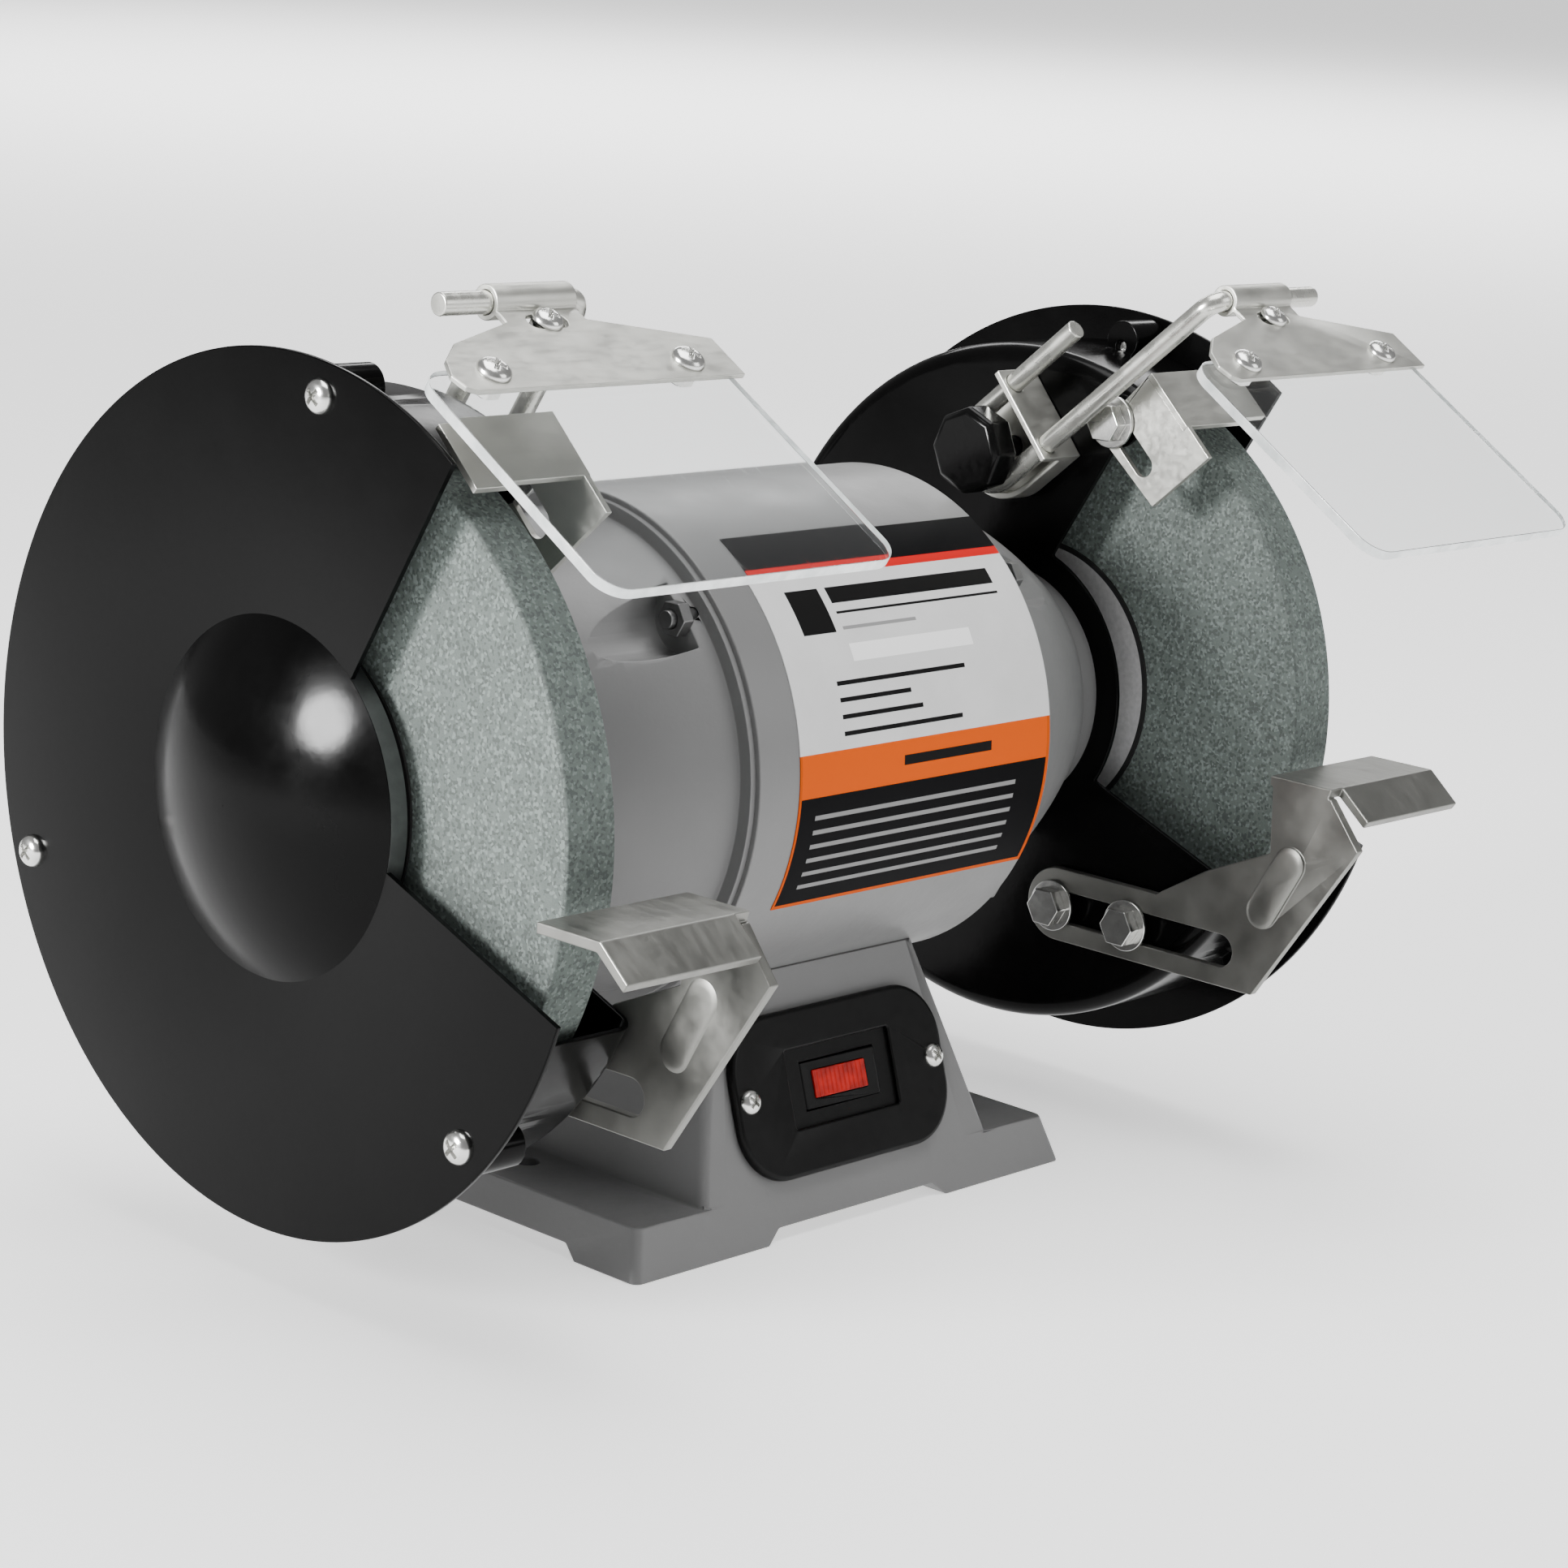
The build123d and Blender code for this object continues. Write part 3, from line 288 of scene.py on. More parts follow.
def zinc_finish(name, colour, roughness, stretch=(1, 1, 1)):
    """Zinc plate: cloudy passivation and fine drawn lines."""
    finish = Finish(name, Metallic=0.85, Roughness=roughness)
    cloud = finish.ramp(finish.noise(70, 5, 0.62), 0.3, 0.72)
    tone = finish.mix(cloud, shade(colour, 0.9), shade(colour, 1.08))
    finish.set("Base Color", tone)
    lines = finish.noise(500, 2, 0.5, stretch)
    finish.set("Roughness", finish.ramp(lines + cloud * 0.5, 0.4, 1.1, roughness - 0.08, roughness + 0.12))
    finish.bump(lines, 0.01 * MM)
    return finish.material


def bright_finish(name, colour, roughness):
    """Bright plated fastener, with light handling marks."""
    finish = Finish(name, Metallic=1.0, Roughness=roughness)
    cloud = finish.ramp(finish.noise(300, 3), 0.35, 0.7)
    finish.set("Base Color", finish.mix(cloud, shade(colour, 0.9), shade(colour, 1.05)))
    finish.set("Roughness", finish.ramp(finish.noise(500, 2), 0.3, 0.7, roughness - 0.04, roughness + 0.06))
    finish.bump(finish.noise(900, 2), 0.004 * MM)
    return finish.material


def abrasive_finish():
    """Bonded grit: pale and dark grains of two sizes, open pores, a cloudy bond and painted shade that
    darkens the rim.
    """
    colour = tuple(settings().grit_grey)
    finish = Finish("abrasive_grit", Roughness=0.86, Specular_IOR_Level=0.3)
    coarse = finish.grains(1250)
    fine = finish.grains(3200)
    cloud = finish.ramp(finish.noise(140, 4, 0.65), 0.3, 0.7)
    tone = finish.mix(cloud, shade(colour, 0.86), shade(colour, 1.12))
    tone = finish.mix(finish.ramp(fine, 0.2, 1.0) * 0.35, tone, shade(colour, 1.45))
    tone = finish.mix(coarse.above(0.82) * 0.5, tone, shade(colour, 2.1))
    tone = finish.mix((1 - coarse.above(0.24)) * 0.55, tone, shade(colour, 0.4))
    # Painted shade: the last millimetre out to the rim is darkened towards a third of the grit colour,
    # mixed in at 0.35.
    rim = finish.off_spindle().above(WHEEL_RADIUS - 1 * MM)
    tone = finish.mix(rim * 0.35, tone, shade(colour, 0.3))
    finish.set("Base Color", tone)
    finish.bump(coarse * 0.6 + fine * 0.4, 0.2 * MM)
    return finish.material


def plastic_finish(name, colour, roughness, texture):
    """Moulded plastic with a spark-eroded grain."""
    finish = Finish(name, Roughness=roughness, Specular_IOR_Level=0.12)
    cloud = finish.ramp(finish.noise(90, 3), 0.3, 0.7)
    finish.set("Base Color", finish.mix(cloud, shade(colour, 0.8), shade(colour, 1.3)))
    finish.set("Roughness", finish.ramp(finish.noise(500, 2), 0.3, 0.7, roughness - 0.04, roughness + 0.08))
    finish.bump(finish.noise(1400, 2), 0.03 * MM * texture)
    return finish.material


def lens_finish():
    """Red lamp lens with a faint prismatic grid and a faint painted glow in its own colour."""
    finish = Finish("lamp_lens_red", Roughness=0.22, Specular_IOR_Level=0.25)
    colour = tuple(settings().lamp_red)
    glow = finish.ramp(finish.noise(260, 2), 0.3, 0.7)
    tone = finish.mix(glow, shade(colour, 0.55), shade(colour, 1.25))
    finish.set("Base Color", tone)
    # Painted glow: the lens emits a faint light in its own colour.
    finish.set("Emission Color", tone)
    finish.shader.inputs["Emission Strength"].default_value = 0.06
    ribs = (finish.axis("X") * (FULL_TURN / (1.6 * MM))).math("SINE")
    finish.bump(ribs, 0.05 * MM)
    return finish.material


def label_finish():
    """Banded label: dark head, red line, pale field with plain rules, bright band and dark foot."""
    finish = Finish("label_print", Roughness=0.45, Specular_IOR_Level=0.03)
    across = finish.axis("X") / MM
    front = finish.axis("Y") * -1
    turn = (finish.axis("Z") - AXIS_HEIGHT).math("ARCTAN2", front) * math.degrees(1)
    pale = finish.mix(finish.ramp(finish.noise(60, 3), 0.3, 0.7), (0.60, 0.60, 0.60), (0.65, 0.65, 0.65))
    dark = (0.003, 0.003, 0.0035)
    ink = (0.008, 0.008, 0.008)
    orange = tuple(settings().orange)
    tone = finish.mix(turn.above(49.8), pale, dark)
    tone = finish.mix(turn.within(47.6, 49.8), tone, (0.55, 0.01, 0.01))
    tone = finish.mix(turn.within(-1.2, 8.2), tone, orange)
    tone = finish.mix(1 - turn.above(-1.2), tone, dark)
    # Plain bars: left and right in millimetres across, low and high in degrees round the barrel
    rules = (
        (-18, 50, 40.2, 44.2, ink),
        (-18, 50, 37.6, 38.2, ink),
        (-18, 12, 33.8, 34.6, (0.25, 0.25, 0.25)),
        (-18, 32, 26.6, 30.6, (0.9, 0.9, 0.9)),
        (-27, 26, 21.8, 22.8, ink),
        (-27, 2, 18.2, 19.2, ink),
        (-27, 6, 14.6, 15.6, ink),
        (-27, 22, 11.0, 12.0, ink),
        (-34, -21, 33.5, 44.2, ink),
        (-3, 34, 2.6, 4.8, ink),
    )
    for left, right, low, high, colour in rules:
        tone = finish.mix(across.within(left, right) * turn.within(low, high), tone, colour)
    stripes = ((turn * (360 / 3.3)).math("RADIANS").math("SINE")).above(0.55)
    text_field = across.within(-38, 46) * turn.within(-23.5, -3.6)
    tone = finish.mix(stripes * text_field * 0.65, tone, (0.35, 0.35, 0.35))
    edge = across.within(-44.2, 58.6) * turn.above(-26.6)
    tone = finish.mix((1 - edge) * (1 - turn.above(8.2)), tone, shade(orange, 0.8))
    finish.set("Base Color", tone)
    finish.bump(finish.noise(500, 2), 0.01 * MM)
    return finish.material


def ring_card_finish():
    """Card washer: pale ring with a dark outline, left blank."""
    finish = Finish("blotter_card", Roughness=0.75)
    outline = finish.off_spindle().above(CARD_OUTLINE_RADIUS)
    fibre = finish.ramp(finish.noise(700, 3), 0.3, 0.7)
    tone = finish.mix(fibre, (0.42, 0.42, 0.42), (0.52, 0.52, 0.52))
    finish.set("Base Color", finish.mix(outline, tone, (0.012, 0.012, 0.012)))
    finish.bump(fibre, 0.02 * MM)
    return finish.material


def clear_finish():
    """Clear polycarbonate with faint scuffs."""
    finish = Finish(
        "clear_screen", Roughness=0.03, Transmission_Weight=1.0, IOR=1.3, Base_Color=(0.97, 0.985, 0.985, 1)
    )
    scuffs = finish.ramp(finish.noise(900, 2, 0.6, (1, 0.15, 0.15)), 0.62, 0.75)
    finish.set("Roughness", finish.ramp(scuffs, 0, 1, 0.02, 0.09))
    return finish.material


def screen_edge_finish():
    """Edge faces of the screen with painted light: a pale colour and a faint glow stand in for the light a
    polished edge gathers.
    """
    finish = Finish("screen_edge", Roughness=0.2, Specular_IOR_Level=0.6, Emission_Strength=0.25)
    tone = finish.mix(finish.ramp(finish.noise(120, 3), 0.35, 0.65), (0.62, 0.66, 0.66), (0.9, 0.93, 0.93))
    finish.set("Base Color", tone)
    # Painted glow: the edge emits its own pale colour.
    finish.set("Emission Color", tone)
    return finish.material


def lamination_finish():
    """Stacked electrical steel, each sheet a line across the spindle."""
    finish = Finish("lamination_stack", Metallic=0.7, Roughness=0.5)
    lines = (finish.axis("X") * (FULL_TURN / (0.8 * MM))).math("SINE")
    finish.set("Base Color", finish.mix(lines.above(0.3), (0.10, 0.10, 0.11), (0.2, 0.2, 0.21)))
    finish.bump(lines, 0.04 * MM)
    return finish.material


def copper_finish():
    """Varnished winding wire, laid round the bore."""
    finish = Finish("copper_wire", Metallic=0.6, Roughness=0.32, Coat_Weight=0.5)
    strands = (finish.noise(40, 2, 0.5, (12, 1, 1)) * 60).math("SINE")
    finish.set("Base Color", finish.mix(strands.above(0), (0.30, 0.09, 0.03), (0.52, 0.2, 0.07)))
    finish.bump(strands, 0.15 * MM)
    return finish.material


def make_finishes():
    """Every finish by the record's slot name."""
    grey = tuple(settings().paint_grey)
    black = tuple(settings().guard_black)
    zinc = tuple(settings().zinc)
    return {
        "grey_casting_paint": paint_finish("casting_paint_grey", grey, 0.42, 1.2, 0.04),
        "grey_barrel_paint": paint_finish("barrel_paint_grey", shade(grey, 1.03), 0.36, 0.8, 0.025),
        "black_guard_paint": paint_finish("guard_paint_black", black, 0.17, 0.3, 0.15, 0.07),
        "zinc_sheet": zinc_finish("zinc_sheet", shade(zinc, 0.95), 0.36, (0.3, 1, 1)),
        "zinc_wire": zinc_finish("zinc_wire", shade(zinc, 1.1), 0.24, (1, 0.3, 0.3)),
        "bare_rest_steel": zinc_finish("rest_steel", shade(zinc, 0.40), 0.37, (1, 0.2, 0.2)),
        "zinc_fastener": bright_finish("bright_fastener", (0.72, 0.72, 0.70), 0.2),
        "machined_steel": bright_finish("turned_steel", (0.5, 0.5, 0.5), 0.33),
        "bearing_steel": bright_finish("bearing_steel", (0.62, 0.62, 0.62), 0.15),
        "dark_flange": paint_finish("flange_black", (0.006, 0.006, 0.006), 0.34, 0.5, 0.2, 0.3),
        "lamination_steel": lamination_finish(),
        "copper_winding": copper_finish(),
        "abrasive_grey": abrasive_finish(),
        "blotter_card": ring_card_finish(),
        "black_plastic": plastic_finish("black_plastic", (0.003, 0.003, 0.003), 0.34, 0.3),
        "black_switch_plate": plastic_finish("switch_plate_black", (0.0028, 0.0028, 0.0028), 0.34, 0.2),
        "black_knob": plastic_finish("knob_black", (0.003, 0.003, 0.003), 0.19, 0.3),
        "red_lens": lens_finish(),
        "printed_label": label_finish(),
        "capacitor_can": bright_finish("aluminium_can", (0.6, 0.6, 0.6), 0.35),
        "clear_shield": clear_finish(),
        "screen_edge": screen_edge_finish(),
        # Painted highlight: a lighter metal for the dome's rim wall, so it reads as a bright band on the
        # black cover.
        "dome_rim_highlight": bright_finish("dome_rim_highlight", (0.16, 0.16, 0.16), 0.33),
        "dull_fastener": bright_finish("dull_fastener", (0.2, 0.2, 0.2), 0.4),
    }


# Surfaces


def mesh_piece(name, vertices, faces):
    """Makes an object from arrays, smooth except across sharp edges."""
    mesh = bpy.data.meshes.new(name)
    mesh.from_pydata(np.asarray(vertices, float).tolist(), [], faces)
    mesh.validate()
    mesh.shade_smooth()
    mesh.set_sharp_from_angle(angle=SHARP_EDGE)
    piece = bpy.data.objects.new(name, mesh)
    bpy.context.scene.collection.objects.link(piece)
    return piece


def grid_faces(rows, columns, wrap_rows, wrap_columns, start=0):
    """Quads of a grid of points, row by row."""
    i, j = np.meshgrid(
        np.arange(rows if wrap_rows else rows - 1), np.arange(columns if wrap_columns else columns - 1),
        indexing="ij",
    )
    up, across = (i + 1) % rows, (j + 1) % columns
    quads = np.stack([i * columns + j, up * columns + j, up * columns + across, i * columns + across], -1)
    return (quads.reshape(-1, 4) + start).tolist()


def outward(piece):
    """Turns every face of a closed piece outwards."""
    mesh = bmesh.new()
    mesh.from_mesh(piece.data)
    bmesh.ops.remove_doubles(mesh, verts=mesh.verts, dist=1e-6)
    bmesh.ops.recalc_face_normals(mesh, faces=mesh.faces)
    mesh.to_mesh(piece.data)
    mesh.free()
    piece.data.shade_smooth()
    piece.data.set_sharp_from_angle(angle=SHARP_EDGE)
    return piece


def rounded(points, radius, steps=4):
    """A closed outline with each corner replaced by an arc: a corner's arc is a quadratic curve whose ends
    lie a radius away along both sides, or under half of a short side."""
    points = np.asarray(points, float)
    before = np.roll(points, 1, axis=0) - points
    after = np.roll(points, -1, axis=0) - points
    lengths = [np.linalg.norm(side, axis=1, keepdims=True) for side in (before, after)]
    reach = np.minimum(radius, np.minimum(*lengths) * 0.48)
    first = points + before / lengths[0] * reach
    last = points + after / lengths[1] * reach
    t = np.linspace(0, 1, steps + 1)[None, :, None]
    arc = (1 - t) ** 2 * first[:, None] + 2 * t * (1 - t) * points[:, None] + t**2 * last[:, None]
    return arc.reshape(-1, points.shape[1])


def around(x, radius, turn):
    """Points at radius and turn about the spindle; turn 0 is the front and grows upwards."""
    return np.stack([x, -radius * np.cos(turn), AXIS_HEIGHT + radius * np.sin(turn)], -1)


def revolved(name, outline, steps=192):
    """A closed (X, radius) outline carried a full turn about the spindle."""
    outline = np.asarray(outline, float)
    turn = np.linspace(0, FULL_TURN, steps, endpoint=False)[:, None]
    x, radius, turn = np.broadcast_arrays(outline[None, :, 0], outline[None, :, 1], turn)
    points = around(x, radius, turn)
    faces = grid_faces(steps, len(outline), True, True)
    return outward(mesh_piece(name, points.reshape(-1, 3), faces))


def opening_limits(radius):
    """Turns of the guard opening's two straight edges at a radius: each edge is a line that passes the
    spindle at a set distance, so its turn is its own angle plus the arc sine of distance over radius."""
    offset = OPENING_APEX * math.sin(OPENING_HALF)
    extra = np.arcsin(np.clip(offset / radius, -1, 1))
    return OPENING_ANGLE - OPENING_HALF + extra, OPENING_ANGLE + OPENING_HALF - extra


def cut_ring(name, outline, steps=220):
    """A closed (X, radius) outline carried round from one edge of the guard's opening to the other, the
    long way, with both ends closed by flat caps."""
    outline = np.asarray(outline, float)
    low, high = opening_limits(outline[:, 1])
    share = np.linspace(0, 1, steps)[:, None]
    turn = high + (FULL_TURN + low - high) * share
    x, radius, turn = np.broadcast_arrays(outline[None, :, 0], outline[None, :, 1], turn)
    points = around(x, radius, turn)
    count = len(outline)
    faces = grid_faces(steps, count, False, True)
    faces.append(list(range(count)))
    faces.append(list(range((steps - 1) * count, steps * count))[::-1])
    return outward(mesh_piece(name, points.reshape(-1, 3), faces))


def merged_mesh(node):
    """A CAD node's mesh with its doubled vertices merged and its flat faces joined up."""
    shape = bmesh.new()
    shape.from_mesh(frame["nodes"][node].data)
    bmesh.ops.remove_doubles(shape, verts=shape.verts, dist=2e-6)
    bmesh.ops.dissolve_limit(shape, angle_limit=math.radians(0.5), verts=shape.verts, edges=shape.edges)
    return shape


def piece_of(shape, name):
    """Makes an object of a finished shape."""
    mesh = bpy.data.meshes.new(name)
    shape.to_mesh(mesh)
    shape.free()
    mesh.shade_smooth()
    mesh.set_sharp_from_angle(angle=SHARP_CAD_EDGE)
    piece = bpy.data.objects.new(name, mesh)
    bpy.context.scene.collection.objects.link(piece)
    return piece


def refined(node, bevel, segments=2):
    """A copy of a CAD node with its sharp edges rounded, put in the node's place."""
    piece = piece_of(merged_mesh(node), node + "_detail")
    round_edges(piece, bevel, segments)
    return stand_for(piece, node)


def round_edges(piece, width, segments=2):
    """Adds a bevel to a piece's sharp edges."""
    modifier = piece.modifiers.new("rounded_edges", "BEVEL")
    modifier.width = width
    modifier.segments = segments
    modifier.limit_method = "ANGLE"
    modifier.angle_limit = math.radians(35)
    modifier.miter_outer = "MITER_ARC"
    modifier.use_clamp_overlap = False
    modifier.harden_normals = True


def islands(shape):
    """The separate bodies of a shape, each as a list of vertices."""
    left = set(shape.verts)
    while left:
        found, edge = set(), [left.pop()]
        while edge:
            vertex = edge.pop()
            found.add(vertex)
            near = {link.other_vert(vertex) for link in vertex.link_edges} & left
            left -= near
            edge.extend(near)
        yield list(found)


def broad_normal(node):
    """Upward normal of a sheet's broadest face."""
    broad = max(frame["nodes"][node].data.polygons, key=lambda face: face.area)
    return broad.normal.copy() if broad.normal.z > 0 else -broad.normal


def cross_recess(across, up, reach, width, depth):
    """Depth below a screw's crown: full inside either arm of a cross, nothing outside, and a smooth step
    over a short wall between."""
    one = np.maximum(np.abs(across) - reach, np.abs(up) - width)
    other = np.maximum(np.abs(up) - reach, np.abs(across) - width)
    inside = np.clip(-np.minimum(one, other) / (0.35 * width), 0, 1)
    return depth * inside * inside * (3 - 2 * inside)


def screw_head(name, centre, axis, radius, low, high, shank_radius, shank_end):
    """Pan-head screw on a polar grid. The crown's height over its rim is the rest of a superellipse,
    (r/R)^2.6 + (h/H)^2.2 = 1, less the depth of the cross recess; below it a plain shank."""
    ring = np.concatenate([np.linspace(0.02, 0.8, 22), 1 - np.geomspace(0.16, 0.002, 8), [1.0]])[:, None]
    turn = np.linspace(0, FULL_TURN, 96, endpoint=False)[None, :] + math.radians(20)
    across, up = radius * ring * np.cos(turn), radius * ring * np.sin(turn)
    height = (high - low) * np.clip(1 - ring**2.6, 0, 1) ** (1 / 2.2) + 0 * turn
    height = height - cross_recess(across, up, 0.56 * radius, 0.13 * radius, 0.62 * (high - low))
    foot = shank_end - low
    shank = [(radius, 0.0), (shank_radius, 0.0), (shank_radius, foot), (shank_radius * 0.1, foot)]
    rows = [np.stack([across, up, height], -1)]
    for span, drop in shank:
        rows.append(np.stack([span * np.cos(turn), span * np.sin(turn), drop + 0 * turn], -1))
    points = np.concatenate(rows).reshape(-1, 3)
    side = Vector(axis).orthogonal().normalized()
    basis = np.array([side, Vector(axis).cross(side), axis])
    place = np.array(centre) + low * np.array(axis)
    count, columns = len(ring) + len(shank), turn.shape[1]
    faces = grid_faces(count, columns, False, True)
    faces.append(list(range(columns)))
    faces.append(list(range((count - 1) * columns, count * columns))[::-1])
    return outward(mesh_piece(name, points @ basis + place, faces))


def drive_screws(node, axis):
    """Gives each screw of a node a crowned head with a cross recess; its nuts stay as they are."""
    axis = Vector(axis).normalized()
    shape = merged_mesh(node)
    pieces, spent = [], []
    for number, vertices in enumerate(islands(shape)):
        points = np.array([vertex.co for vertex in vertices])
        along = points @ np.array(axis)
        if along.max() - along.min() < 4 * MM:
            continue
        flat = points - along[:, None] * np.array(axis)
        centre = (flat.max(0) + flat.min(0)) / 2
        reach = np.linalg.norm(flat - centre, axis=1)
        head = reach > 0.9 * reach.max()
        foot = reach[along < along.min() + 0.2 * MM].max()
        pieces.append(screw_head(
            f"{node}_{number}", centre, axis, reach.max(), along[head].min(), along.max(), foot, along.min()
        ))
        spent += vertices
    bmesh.ops.delete(shape, geom=spent, context="VERTS")
    pieces.append(piece_of(shape, node + "_nuts"))
    return stand_for(joined(node + "_detail", pieces), node)


FINISHES = {}
SLOT_OF = {entry["node"]: entry["material_slot"] for entry in frame["record"]["subparts"]}
BODY_OF = {node: body for body, nodes in frame["record"]["behaviour"]["bodies"].items() for node in nodes}


def stand_for(piece, node):
    """Dresses a piece in a node's finish, rides it on the node's body and hides the node."""
    piece.data.materials.clear()
    piece.data.materials.append(FINISHES[SLOT_OF[node]])
    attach(piece, BODY_OF[node])
    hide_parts(node)
    return piece


def guard_cover(side, sign):
    """Cover disc with its opening, and the dome over the spindle nut."""
    face, back = COVER_FACE, COVER_FACE - SHEET
    edge = settings().edge_radius
    inner, outer = DOME_RADIUS - 1 * MM, COVER_RADIUS
    disc = rounded([(face, inner), (face, outer), (back, outer), (back, inner)], edge)
    disc_piece = cut_ring(side + "_cover_disc", disc * (sign, 1))
    ball = (DOME_RADIUS**2 + DOME_HEIGHT**2) / (2 * DOME_HEIGHT)
    centre = face + DOME_HEIGHT - ball
    lean = np.linspace(0.002, math.asin(DOME_RADIUS / ball), 40)
    crown = np.stack([centre + ball * np.cos(lean), ball * np.sin(lean)], -1)
    wall = rounded(
        [(face, DOME_RADIUS), (RIM_END, DOME_RADIUS - 0.2 * MM), (RIM_END, DOME_RADIUS - SHEET - 0.2 * MM),
         (back, DOME_RADIUS - SHEET)], edge
    )
    under = ball - SHEET
    back_lean = np.linspace(math.asin((DOME_RADIUS - SHEET - 0.5 * MM) / under), 0.002, 24)
    hollow = np.stack([centre + under * np.cos(back_lean), under * np.sin(back_lean)], -1)
    dome_piece = revolved(side + "_cover_dome", np.concatenate([crown, wall, hollow]) * (sign, 1), 160)
    return disc_piece, dome_piece


def joined(name, pieces):
    """Several pieces made one object."""
    shape = bmesh.new()
    for piece in pieces:
        shape.from_mesh(piece.data)
        mesh = piece.data
        bpy.data.objects.remove(piece)
        bpy.data.meshes.remove(mesh)
    mesh = bpy.data.meshes.new(name)
    shape.to_mesh(mesh)
    shape.free()
    mesh.shade_smooth()
    mesh.set_sharp_from_angle(angle=SHARP_EDGE)
    result = bpy.data.objects.new(name, mesh)
    bpy.context.scene.collection.objects.link(result)
    return result


# Operators


class GRINDER_OT_stage(bpy.types.Operator):
    """Sets the floor, lights and camera"""

    bl_idname = "grinder.stage"
    bl_label = "Stage"

    def execute(self, context):
        """Makes a pale floor, soft lights and a camera."""
        make_floor()
        make_lights(context.scene)
        make_camera(context.scene)
        return {"FINISHED"}


def make_floor():
    """A large square of pale paper under the feet."""
    half = FLOOR_HALF
    square = [(-half, -half, 0), (half, -half, 0), (half, half, 0), (-half, half, 0)]
    floor = mesh_piece("studio_floor", square, [[0, 1, 2, 3]])
    finish = Finish("studio_paper", Roughness=0.9, Specular_IOR_Level=0.1, Emission_Strength=0.85)
    finish.shader.inputs["Emission Color"].default_value = (1, 1, 1, 1)
    finish.set("Base Color", finish.mix(finish.noise(3, 2), (0.86, 0.86, 0.86), (0.88, 0.88, 0.88)))
    floor.data.materials.append(finish.material)


def aim(obj, place, target):
    """Points an object's -Z axis from a place at a target."""
    direction = Vector(target) - Vector(place)
    obj.location = place
    obj.rotation_euler = direction.to_track_quat("-Z", "Y").to_euler()


def make_lights(scene):
    """Soft boxes, a card that shows only in gloss, and a bright, even surround."""
    world = bpy.data.worlds.new("studio_world")
    world.use_nodes = True
    surround = world.node_tree.nodes["Background"]
    surround.inputs["Color"].default_value = (1, 1, 1, 1)
    surround.inputs["Strength"].default_value = 0.3
    scene.world = world
    # Name, outline, place, target, width, depth and power in watts
    middle = (0, 0, 0.15)
    boxes = (
        ("side_box", "ELLIPSE", (-1.45, 0.2, 0.62), middle, 0.42, 0.40, 22),
        ("gloss_card", "ELLIPSE", (-1.44, 0.2, 0.62), middle, 0.50, 0.46, 90),
        ("top_box", "RECTANGLE", (0.1, -0.1, 1.8), middle, 1.6, 1.2, 40),
        ("front_box", "RECTANGLE", (0.9, -1.7, 0.9), middle, 1.0, 1.0, 10),
        ("floor_wash", "RECTANGLE", (4.6, 4.4, 3.6), (5.4, 5.1, 0), 5.0, 5.0, 620),
    )
    for name, outline, place, target, width, depth, power in boxes:
        light = bpy.data.lights.new(name, "AREA")
        light.shape = outline
        light.size = width
        light.size_y = depth
        light.energy = power
        lamp = bpy.data.objects.new(name, light)
        scene.collection.objects.link(lamp)
        lamp.visible_camera = False
        lamp.visible_diffuse = name != "gloss_card"
        aim(lamp, place, target)


def make_camera(scene):
    """Long lens from the left front, a little above, with a slight roll."""
    flat = math.cos(CAMERA_ELEVATION)
    back = Vector((
        math.sin(CAMERA_AZIMUTH) * flat, -math.cos(CAMERA_AZIMUTH) * flat, math.sin(CAMERA_ELEVATION)
    ))
    level = Vector((math.cos(CAMERA_AZIMUTH), math.sin(CAMERA_AZIMUTH), 0))
    upright = back.cross(level)
    right = level * math.cos(CAMERA_ROLL) + upright * math.sin(CAMERA_ROLL)
    up = upright * math.cos(CAMERA_ROLL) - level * math.sin(CAMERA_ROLL)
    data = bpy.data.cameras.new("studio_camera")
    data.lens = CAMERA_LENS
    data.sensor_width = CAMERA_SENSOR
    data.sensor_fit = "HORIZONTAL"
    camera = bpy.data.objects.new("studio_camera", data)
    scene.collection.objects.link(camera)
    turn = Matrix((right, up, back)).transposed().to_4x4()
    place = Vector(CAMERA_TARGET) * MM + back * CAMERA_DISTANCE * MM
    camera.matrix_world = Matrix.Translation(place) @ turn
    scene.camera = camera


class GRINDER_OT_finishes(bpy.types.Operator):
    """Makes the finishes and dresses the frame's own pieces"""

    bl_idname = "grinder.finishes"
    bl_label = "Finishes"

    def execute(self, context):
        """Assigns each CAD node the finish of its slot."""
        FINISHES.update(make_finishes())
        for node, obj in frame["nodes"].items():
            obj.data.materials.clear()
            obj.data.materials.append(FINISHES[SLOT_OF[node]])
        return {"FINISHED"}


class GRINDER_OT_base(bpy.types.Operator):
    """Makes the cast base and its switch"""

    bl_idname = "grinder.base"
    bl_label = "Base and switch"

    def execute(self, context):
        """Eased castings, plates and the rocker."""
        refined("base_casting", 0.55 * MM)
        refined("base_cover_plate", 0.3 * MM)
        refined("switch_plate", 0.7 * MM, 3)
        refined("rocker", 0.5 * MM, 3)
        refined("rocker_lens", 0.25 * MM)
        refined("cord_gland", 0.5 * MM)
        drive_screws("switch_plate_screws", (0, -math.cos(FRONT_LEAN), math.sin(FRONT_LEAN)))
        drive_screws("base_cover_screws", (0, 0, -1))
        return {"FINISHED"}


class GRINDER_OT_motor(bpy.types.Operator):
    """Makes the motor's shell"""

    bl_idname = "grinder.motor"
    bl_label = "Motor"

    def execute(self, context):
        """Barrel, end bells and their bolts."""
        refined("motor_barrel", 0.5 * MM)
        refined("through_bolts", 0.4 * MM).data.materials[0] = FINISHES["dull_fastener"]
        for side, _ in SIDES:
            refined(side + "_end_bell", 0.25 * MM)
        return {"FINISHED"}


